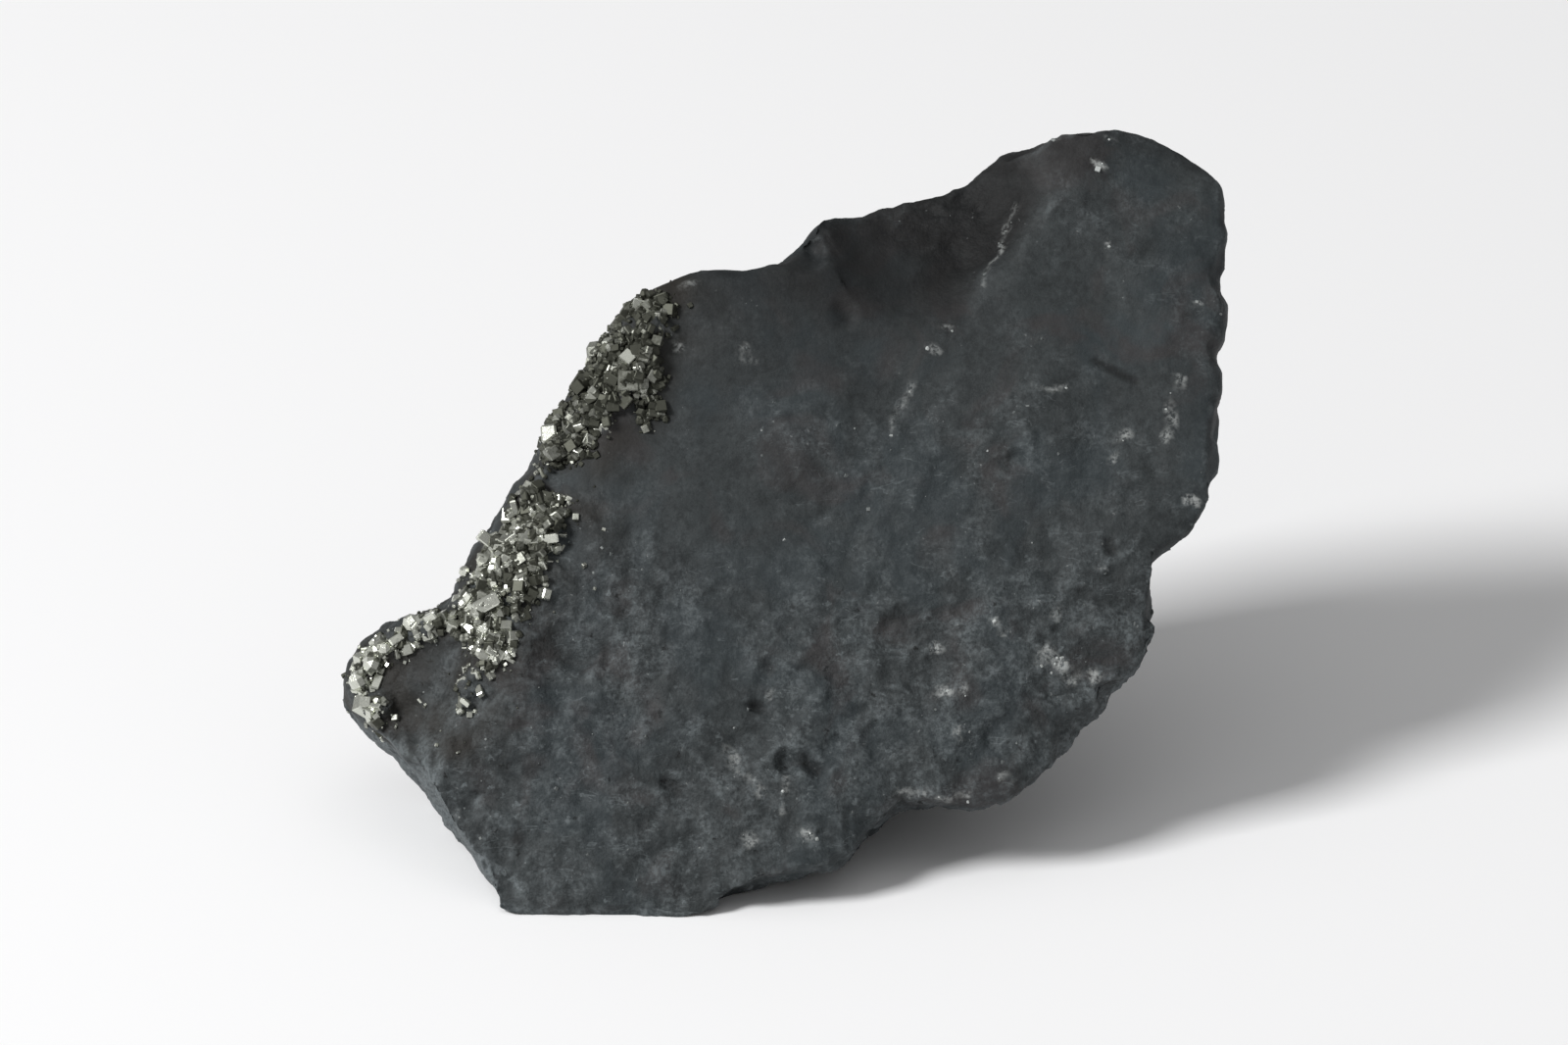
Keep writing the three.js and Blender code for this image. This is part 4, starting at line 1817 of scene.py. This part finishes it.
class CrystalTree:
    """The Geometry Nodes tree that grows a crystal at each of a mesh's vertices."""

    INPUTS = {
        "Sites": "NodeSocketGeometry",
        "Shapes": "NodeSocketCollection",
        "Size": "NodeSocketFloat",
        "Seed": "NodeSocketInt",
        "Material": "NodeSocketMaterial",
    }
    SITE_RADIUS = 0.0001

    def __init__(self) -> None:
        """Lays out the tree, with the shapes, the size, the seed and the material as inputs."""
        self.tree = bpy.data.node_groups.new("crystal_growth", "GeometryNodeTree")
        self.tree.is_modifier = True
        board = Board(self.tree)
        for label, kind in self.INPUTS.items():
            self.tree.interface.new_socket(label, in_out="INPUT", socket_type=kind)
        self.tree.interface.new_socket("Crystals", in_out="OUTPUT", socket_type="NodeSocketGeometry")
        given = board.node("NodeGroupInput").outputs
        grown = self.crystals(board, given)
        real = board.node("GeometryNodeRealizeInstances", {"Geometry": grown})
        material = {"Geometry": real.outputs[0], "Material": given["Material"]}
        dressed = board.node("GeometryNodeSetMaterial", material)
        board.node("NodeGroupOutput", {"Crystals": dressed.outputs[0]})

    def crystals(self, board: Board, given: bpy.types.NodeOutputs) -> Socket:
        """Lays out the copies.

        Args:
            board: the tree's board.
            given: the tree's inputs.

        Returns:
            A copy of one of the shapes at each site.
        """
        points = board.node("GeometryNodeMeshToPoints", {"Mesh": given["Sites"], "Radius": self.SITE_RADIUS})
        shapes = board.node(
            "GeometryNodeCollectionInfo",
            {"Collection": given["Shapes"], "Separate Children": True, "Reset Children": True},
        )
        length = self.carried(board, Shade.LENGTH, "FLOAT")
        turn = self.carried(board, Shade.TURN, "QUATERNION")
        copies = board.node(
            "GeometryNodeInstanceOnPoints",
            {
                "Points": points.outputs[0],
                "Instance": shapes.outputs[0],
                "Pick Instance": True,
                "Instance Index": self.chosen(board, given["Seed"]),
                "Rotation": turn,
                "Scale": board.times(length, given["Size"]),
            },
        )
        return copies.outputs[0]

    def carried(self, board: Board, name: Shade, kind: str) -> Socket:
        """Adds a reading of what the sites carry, and gives it."""
        inputs = {"Name": name.value}
        return board.node("GeometryNodeInputNamedAttribute", inputs, data_type=kind).outputs["Attribute"]

    def chosen(self, board: Board, seed: Socket) -> Socket:
        """Lays out which shape is copied.

        Args:
            board: the tree's board.
            seed: the seed of the choice.

        Returns:
            The shape's number, drawn anew at each site.
        """
        which = board.node("FunctionNodeRandomValue", {"Seed": seed}, data_type="INT")
        limits = {"Min": 0, "Max": len(CrystalShapes.KINDS) - 1}
        for socket in which.inputs:
            if socket.type == "INT" and socket.name in limits:
                socket.default_value = limits[socket.name]
        return next(socket for socket in which.outputs if socket.type == "INT")


@dataclass
class CrystalSites:
    """Where crystals sit, how long their edges are, how they are turned and how tarnished each is."""

    places: list[Vector] = field(default_factory=list)
    lengths: list[float] = field(default_factory=list)
    turns: list[Quaternion] = field(default_factory=list)
    tints: list[float] = field(default_factory=list)

    def add(self, place: Vector, length: float, turn: Quaternion, tint: float) -> None:
        """Adds a crystal.

        Args:
            place: its middle.
            length: its edge, in metres.
            turn: how it is turned.
            tint: how tarnished it is.
        """
        self.places.append(place)
        self.lengths.append(length)
        self.turns.append(turn)
        self.tints.append(tint)

    def mesh(self) -> bpy.types.Mesh:
        """Turns the sites into a mesh.

        Returns:
            Loose vertices that carry what the growth tree reads.
        """
        made = bpy.data.meshes.new("crystal_sites")
        made.from_pydata(self.places, [], [])
        paint(made, Shade.LENGTH, self.lengths)
        paint(made, Shade.TINT, self.tints)
        turns = np.array([tuple(turn) for turn in self.turns]).reshape(-1)
        paint(made, Shade.TURN, turns, "QUATERNION")
        return made


@dataclass
class CrystalGrowth:
    """One piece of many crystals."""

    name: str
    sites: CrystalSites
    seed: int
    slot: str

    def build(
        self, growth: CrystalTree, shapes: CrystalShapes, material: bpy.types.Material
    ) -> bpy.types.Object:
        """Grows the crystals.

        Args:
            growth: what grows a crystal at each site.
            shapes: what the crystals are copies of.
            material: their material.

        Returns:
            The piece, a plain mesh that rides with the rock.
        """
        holder = link("holder", self.sites.mesh())
        modifier = holder.modifiers.new("growth", "NODES")
        modifier.node_group = growth.tree
        given = {"Shapes": shapes.collection, "Size": 1.0, "Seed": self.seed, "Material": material}
        for item in growth.tree.interface.items_tree:
            if item.in_out == "INPUT" and item.name in given:
                modifier[item.identifier] = given[item.name]
        piece = link(self.name, evaluated_mesh(holder))
        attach(piece, BODY)
        return piece


@dataclass
class PyriteCrust:
    """The crust of pyrite along the left edge: the larger cubes of the solid and finer ones between them."""

    rock: BrokenRock
    seed: int = 6
    cube_edge: Span = (0.8, 1.5)
    lift: float = 0.05
    glint: Vector = field(default_factory=lambda: Vector((-0.383, -0.673, 0.633)))
    leaning: float = 1.3
    bright_lift: float = 0.15
    bright_tarnish: float = 0.25
    freshness: float = 0.14
    dulling: Fade = Fade(0.50, -9.5, 9.0)
    grains: int = 3300
    grain_seed: int = 11
    grain_edge: Span = (0.16, 0.75)
    grain_rarity: float = 2.2
    grain_lift: float = 0.1
    thin_shrink: float = 0.5
    thick_gain: float = 2.0
    crowding: float = 1.3
    stray: float = 0.012

    def cubes(self) -> CrystalSites:
        """Places the larger cubes where the solid has them, and the brightest crystals among them.

        Returns:
            Their sites.
        """
        sites = CrystalSites()
        tree = self.rock.surface.tree()
        for index, patch in enumerate(PYRITE_PATCHES):
            for number in range(patch.count):
                sites.add(*self.cube(tree, patch, index, number))
        for u, v, length in BRIGHT_CRYSTALS:
            sites.add(*self.bright_crystal(tree, u, v, length))
        return sites

    def cube(
        self, tree: BVHTree, patch: GrainPatch, index: int, number: int
    ) -> tuple[Vector, float, Quaternion, float]:
        """Sets one of the solid's cubes into the crust.

        Args:
            tree: the rock's surface.
            patch: the patch that it is in.
            index: the patch's number.
            number: the cube's number in the patch.

        Returns:
            What CrystalSites.add takes.
        """
        drawn = (corner_value(number + 1, index + self.seed, use) for use in range(1, 7))
        size, side, *turns, tint = drawn
        length = between(self.cube_edge, size**2)
        start, end = Vector(patch.start), Vector(patch.end)
        across = (end - start).normalized().orthogonal()
        site = start.lerp(end, (number + 0.5) / patch.count) + across * patch.spread * (2 * side - 1)
        turn = Euler([math.tau * share for share in turns], "ZYX").to_quaternion()
        hit = on_rock(tree, site.x, site.y)[0]
        reach = 0.5 / max(abs(c) for c in turn.inverted() @ Vector((0, 0, 1)))
        place = hit - OUTWARD * length * (reach - self.lift) * MM
        return place, length * MM, FACE_TURN @ turn, self.tint_by_height(tint, site.y)

    def tint_by_height(self, tint: float, v: float) -> float:
        """Gives a crystal's tint: lightest at the tip, darker towards the top of the face."""
        return tint - self.freshness + float(self.dulling.at(np.array(v)))

    def bright_crystal(
        self, tree: BVHTree, u: float, v: float, length: float
    ) -> tuple[Vector, float, Quaternion, float]:
        """Sets one of the largest crystals half into the crust, a face turned up and to the left.

        Args:
            tree: the rock's surface.
            u: where it sits, along the face.
            v: where it sits, up the face.
            length: its edge, in millimetres.

        Returns:
            What CrystalSites.add takes.
        """
        hit, normal = on_rock(tree, u, v)
        spin = Quaternion((0, 0, 1), math.tau * corner_value(u, v, length))
        lean = Euler([self.leaning * (corner_value(v, u, use) - 0.5) for use in (1, 2, 3)]).to_quaternion()
        turn = lean @ self.glint.to_track_quat("Z", "Y") @ spin
        place = hit + normal * self.bright_lift * length * MM
        return place, length * MM, turn, self.bright_tarnish * corner_value(u, v, 4)

    def grain_sites(self) -> CrystalSites:
        """Scatters the finer crystals over the rock's pyrite zone, and a few over the brown rock.

        Returns:
            Their sites.
        """
        chance = np.random.default_rng(self.grain_seed)
        surface = self.rock.surface
        thick, brown = (self.rock.over_faces(zone) for zone in (Zone.PYRITE, Zone.MATRIX))
        directions = surface.face_normals()
        area = np.linalg.norm(directions, axis=1)
        weight = (thick**self.crowding + self.stray * brown) * area
        sites = CrystalSites()
        for face in chance.choice(len(weight), self.grains, p=weight / weight.sum()):
            shares = chance.dirichlet(np.ones(4))
            place = Vector(shares @ surface.points[surface.faces[face]])
            normal = Vector(directions[face]).normalized()
            length = between(self.grain_edge, chance.random() ** self.grain_rarity)
            length *= 1 - self.thin_shrink + self.thin_shrink * min(1.0, self.thick_gain * thick[face])
            turn = Quaternion(chance.normal(size=4)).normalized()
            tint = self.tint_by_height(chance.random(), float(to_face(np.array([place]))[0, 1]))
            sites.add(place + normal * length * MM * self.grain_lift, length * MM, turn, tint)
        return sites


@dataclass
class MineralFlecks:
    """The pale grains in the rock: a few clusters on the broad face and a sparse scatter all over."""

    rock: BrokenRock
    seed: int = 17
    edge: Span = (0.08, 0.34)
    sunk: float = 0.28
    thinning: int = 3
    straying: float = 0.55
    rarity: float = 1.5
    scattered: int = 260
    scattered_above: float = 1.5
    scattered_largest: float = 0.6
    scattered_rarity: float = 2.0
    scattered_dull: float = 0.5

    def sites(self) -> CrystalSites:
        """Places the grains, most of each one under the surface.

        Returns:
            Their sites.
        """
        chance = np.random.default_rng(self.seed)
        sites = CrystalSites()
        self.gather(sites, chance)
        self.scatter(sites, chance)
        return sites

    def gather(self, sites: CrystalSites, chance: np.random.Generator) -> None:
        """Places the grains of the clusters on the broad face.

        Args:
            sites: where they are added.
            chance: what they are drawn from.
        """
        tree = self.rock.surface.tree()
        for patch in FLECK_PATCHES:
            start, end = Vector(patch.start), Vector(patch.end)
            for _ in range(max(1, patch.count // self.thinning)):
                offset = Vector(chance.normal(size=2)) * patch.spread * self.straying
                spot = start.lerp(end, chance.random()) + offset
                hit, normal = tree.ray_cast(from_face(spot.x, spot.y, CAST_FAR), -OUTWARD)[:2]
                if hit is not None:
                    self.grow(sites, chance, (hit, normal), chance.random() ** self.rarity, 0.0)

    def scatter(self, sites: CrystalSites, chance: np.random.Generator) -> None:
        """Places the sparse grains, more of them where the rock is rough.

        Args:
            sites: where they are added.
            chance: what they are drawn from.
        """
        surface = self.rock.surface
        directions = surface.face_normals()
        weight = np.linalg.norm(directions, axis=1) * self.rock.over_faces(Zone.ROUGH)
        weight *= surface.middles()[:, 2] > self.scattered_above * MM
        for face in chance.choice(len(weight), self.scattered, p=weight / weight.sum()):
            place = Vector(surface.points[surface.faces[face]].mean(axis=0))
            normal = Vector(directions[face]).normalized()
            share = self.scattered_largest * chance.random() ** self.scattered_rarity
            self.grow(sites, chance, (place, normal), share, self.scattered_dull)

    def grow(
        self,
        sites: CrystalSites,
        chance: np.random.Generator,
        root: tuple[Vector, Vector],
        share: float,
        dull: float,
    ) -> None:
        """Adds a grain.

        Args:
            sites: where it is added.
            chance: what its turn and tint are drawn from.
            root: where it shows, and the rock's outward direction there.
            share: its size, from 0 for the smallest to 1 for the largest.
            dull: the least that its tint is.
        """
        place, normal = root
        length = between(self.edge, share) * MM
        turn = Quaternion(chance.normal(size=4)).normalized()
        sites.add(place - normal * length * self.sunk, length, turn, dull + (1 - dull) * chance.random())


@dataclass(frozen=True)
class Lamp:
    """A soft square light that looks at the lump.

    The azimuth is in degrees round the lump, 0 in front and 90 on the right, and the elevation in degrees
    above the ground. The distance from the lump and the lamp's side are in metres, the power in watts.
    """

    name: str
    azimuth: float
    elevation: float
    distance: float
    side: float
    power: float

    def hang(self, aim: Vector) -> None:
        """Hangs the lamp.

        Args:
            aim: where it looks.
        """
        lamp = bpy.data.lights.new(self.name, "AREA")
        lamp.energy = self.power
        lamp.size = self.side
        a, e = math.radians(self.azimuth), math.radians(self.elevation)
        back = Vector((math.sin(a) * math.cos(e), -math.cos(a) * math.cos(e), math.sin(e)))
        hung = bpy.data.objects.new(self.name, lamp)
        hung.location = aim + back * self.distance
        hung.rotation_euler = back.to_track_quat("Z", "Y").to_euler()
        hung.visible_camera = False
        bpy.context.scene.collection.objects.link(hung)


@dataclass
class Studio:
    """The plain ground, the soft lights and the camera."""

    half_side: float = 3.0
    lamps: Sequence[Lamp] = (
        Lamp("key", azimuth=-66, elevation=42, distance=1.3, side=0.36, power=16.4),
        Lamp("above", azimuth=20, elevation=80, distance=0.9, side=0.8, power=0.8),
    )
    air: Colour = (1.0, 1.0, 1.0, 1.0)
    air_strength: float = 0.30
    elevation: float = math.radians(27)
    lens: float = 180.0
    filled: float = 0.57
    aim: Vector = field(default_factory=lambda: Vector((0.0, 0.0, 0.0185)))

    def ground(self) -> None:
        """Lays the ground."""
        mesh = bpy.data.meshes.new("ground")
        side = self.half_side
        corners = [(-side, -side, 0), (side, -side, 0), (side, side, 0), (-side, side, 0)]
        mesh.from_pydata(corners, [], [(0, 1, 2, 3)])
        mesh.materials.append(PaperFinish().material())
        ground = link("ground", mesh)

    def lights(self) -> None:
        """Hangs the lamps and lights the air round the lump."""
        for lamp in self.lamps:
            lamp.hang(self.aim)
        world = bpy.data.worlds.new("soft_room")
        world.use_nodes = True
        background = world.node_tree.nodes["Background"].inputs
        background["Color"].default_value = self.air
        background["Strength"].default_value = self.air_strength
        bpy.context.scene.world = world

    def camera(self) -> None:
        """Places the camera in front of the lump, looking down at it."""
        data = bpy.data.cameras.new("camera")
        data.lens = self.lens
        width = (SOLID_BOX[1].x - SOLID_BOX[0].x) / self.filled
        distance = width * self.lens / data.sensor_width
        back = Vector((0, -math.cos(self.elevation), math.sin(self.elevation)))
        camera = bpy.data.objects.new("camera", data)
        camera.location = self.aim + back * distance
        camera.rotation_euler = back.to_track_quat("Z", "Y").to_euler()
        bpy.context.scene.collection.objects.link(camera)
        bpy.context.scene.camera = camera

    def build(self) -> None:
        """Builds the studio."""
        self.ground()
        self.lights()
        self.camera()
        bpy.context.scene.view_settings.view_transform = "Standard"


def triangles(piece: bpy.types.Object) -> int:
    """Counts a piece's triangles."""
    return sum(len(polygon.vertices) - 2 for polygon in piece.data.polygons)


def main() -> None:
    """Builds the lump and the studio, and reports each piece."""
    logging.basicConfig(level=logging.INFO, format="%(name)s: %(message)s")
    noise.seed_set(NOISE_SEED)
    grain = MineralGrain().tree()
    rock = BrokenRock()
    made = [rock.build(RockFinish(grain))]
    pyrite = PyriteFinish(grain).material()
    shapes = CrystalShapes()
    tree = CrystalTree()
    crust = PyriteCrust(rock)
    cubes = CrystalGrowth("pyrite_cubes", crust.cubes(), seed=3, slot="pyrite")
    made.append(cubes.build(tree, shapes, pyrite))
    grains = CrystalGrowth("pyrite_grains", crust.grain_sites(), seed=5, slot="pyrite")
    made.append(grains.build(tree, shapes, pyrite))
    flecks = CrystalGrowth("mineral_flecks", MineralFlecks(rock).sites(), seed=9, slot="shungite")
    made.append(flecks.build(tree, shapes, FleckFinish(grain).material()))
    shapes.remove()
    for piece in made:
        LOG.info("%s: %d triangles", piece.name, triangles(piece))
    Studio().build()


if __name__ == "__main__":
    main()
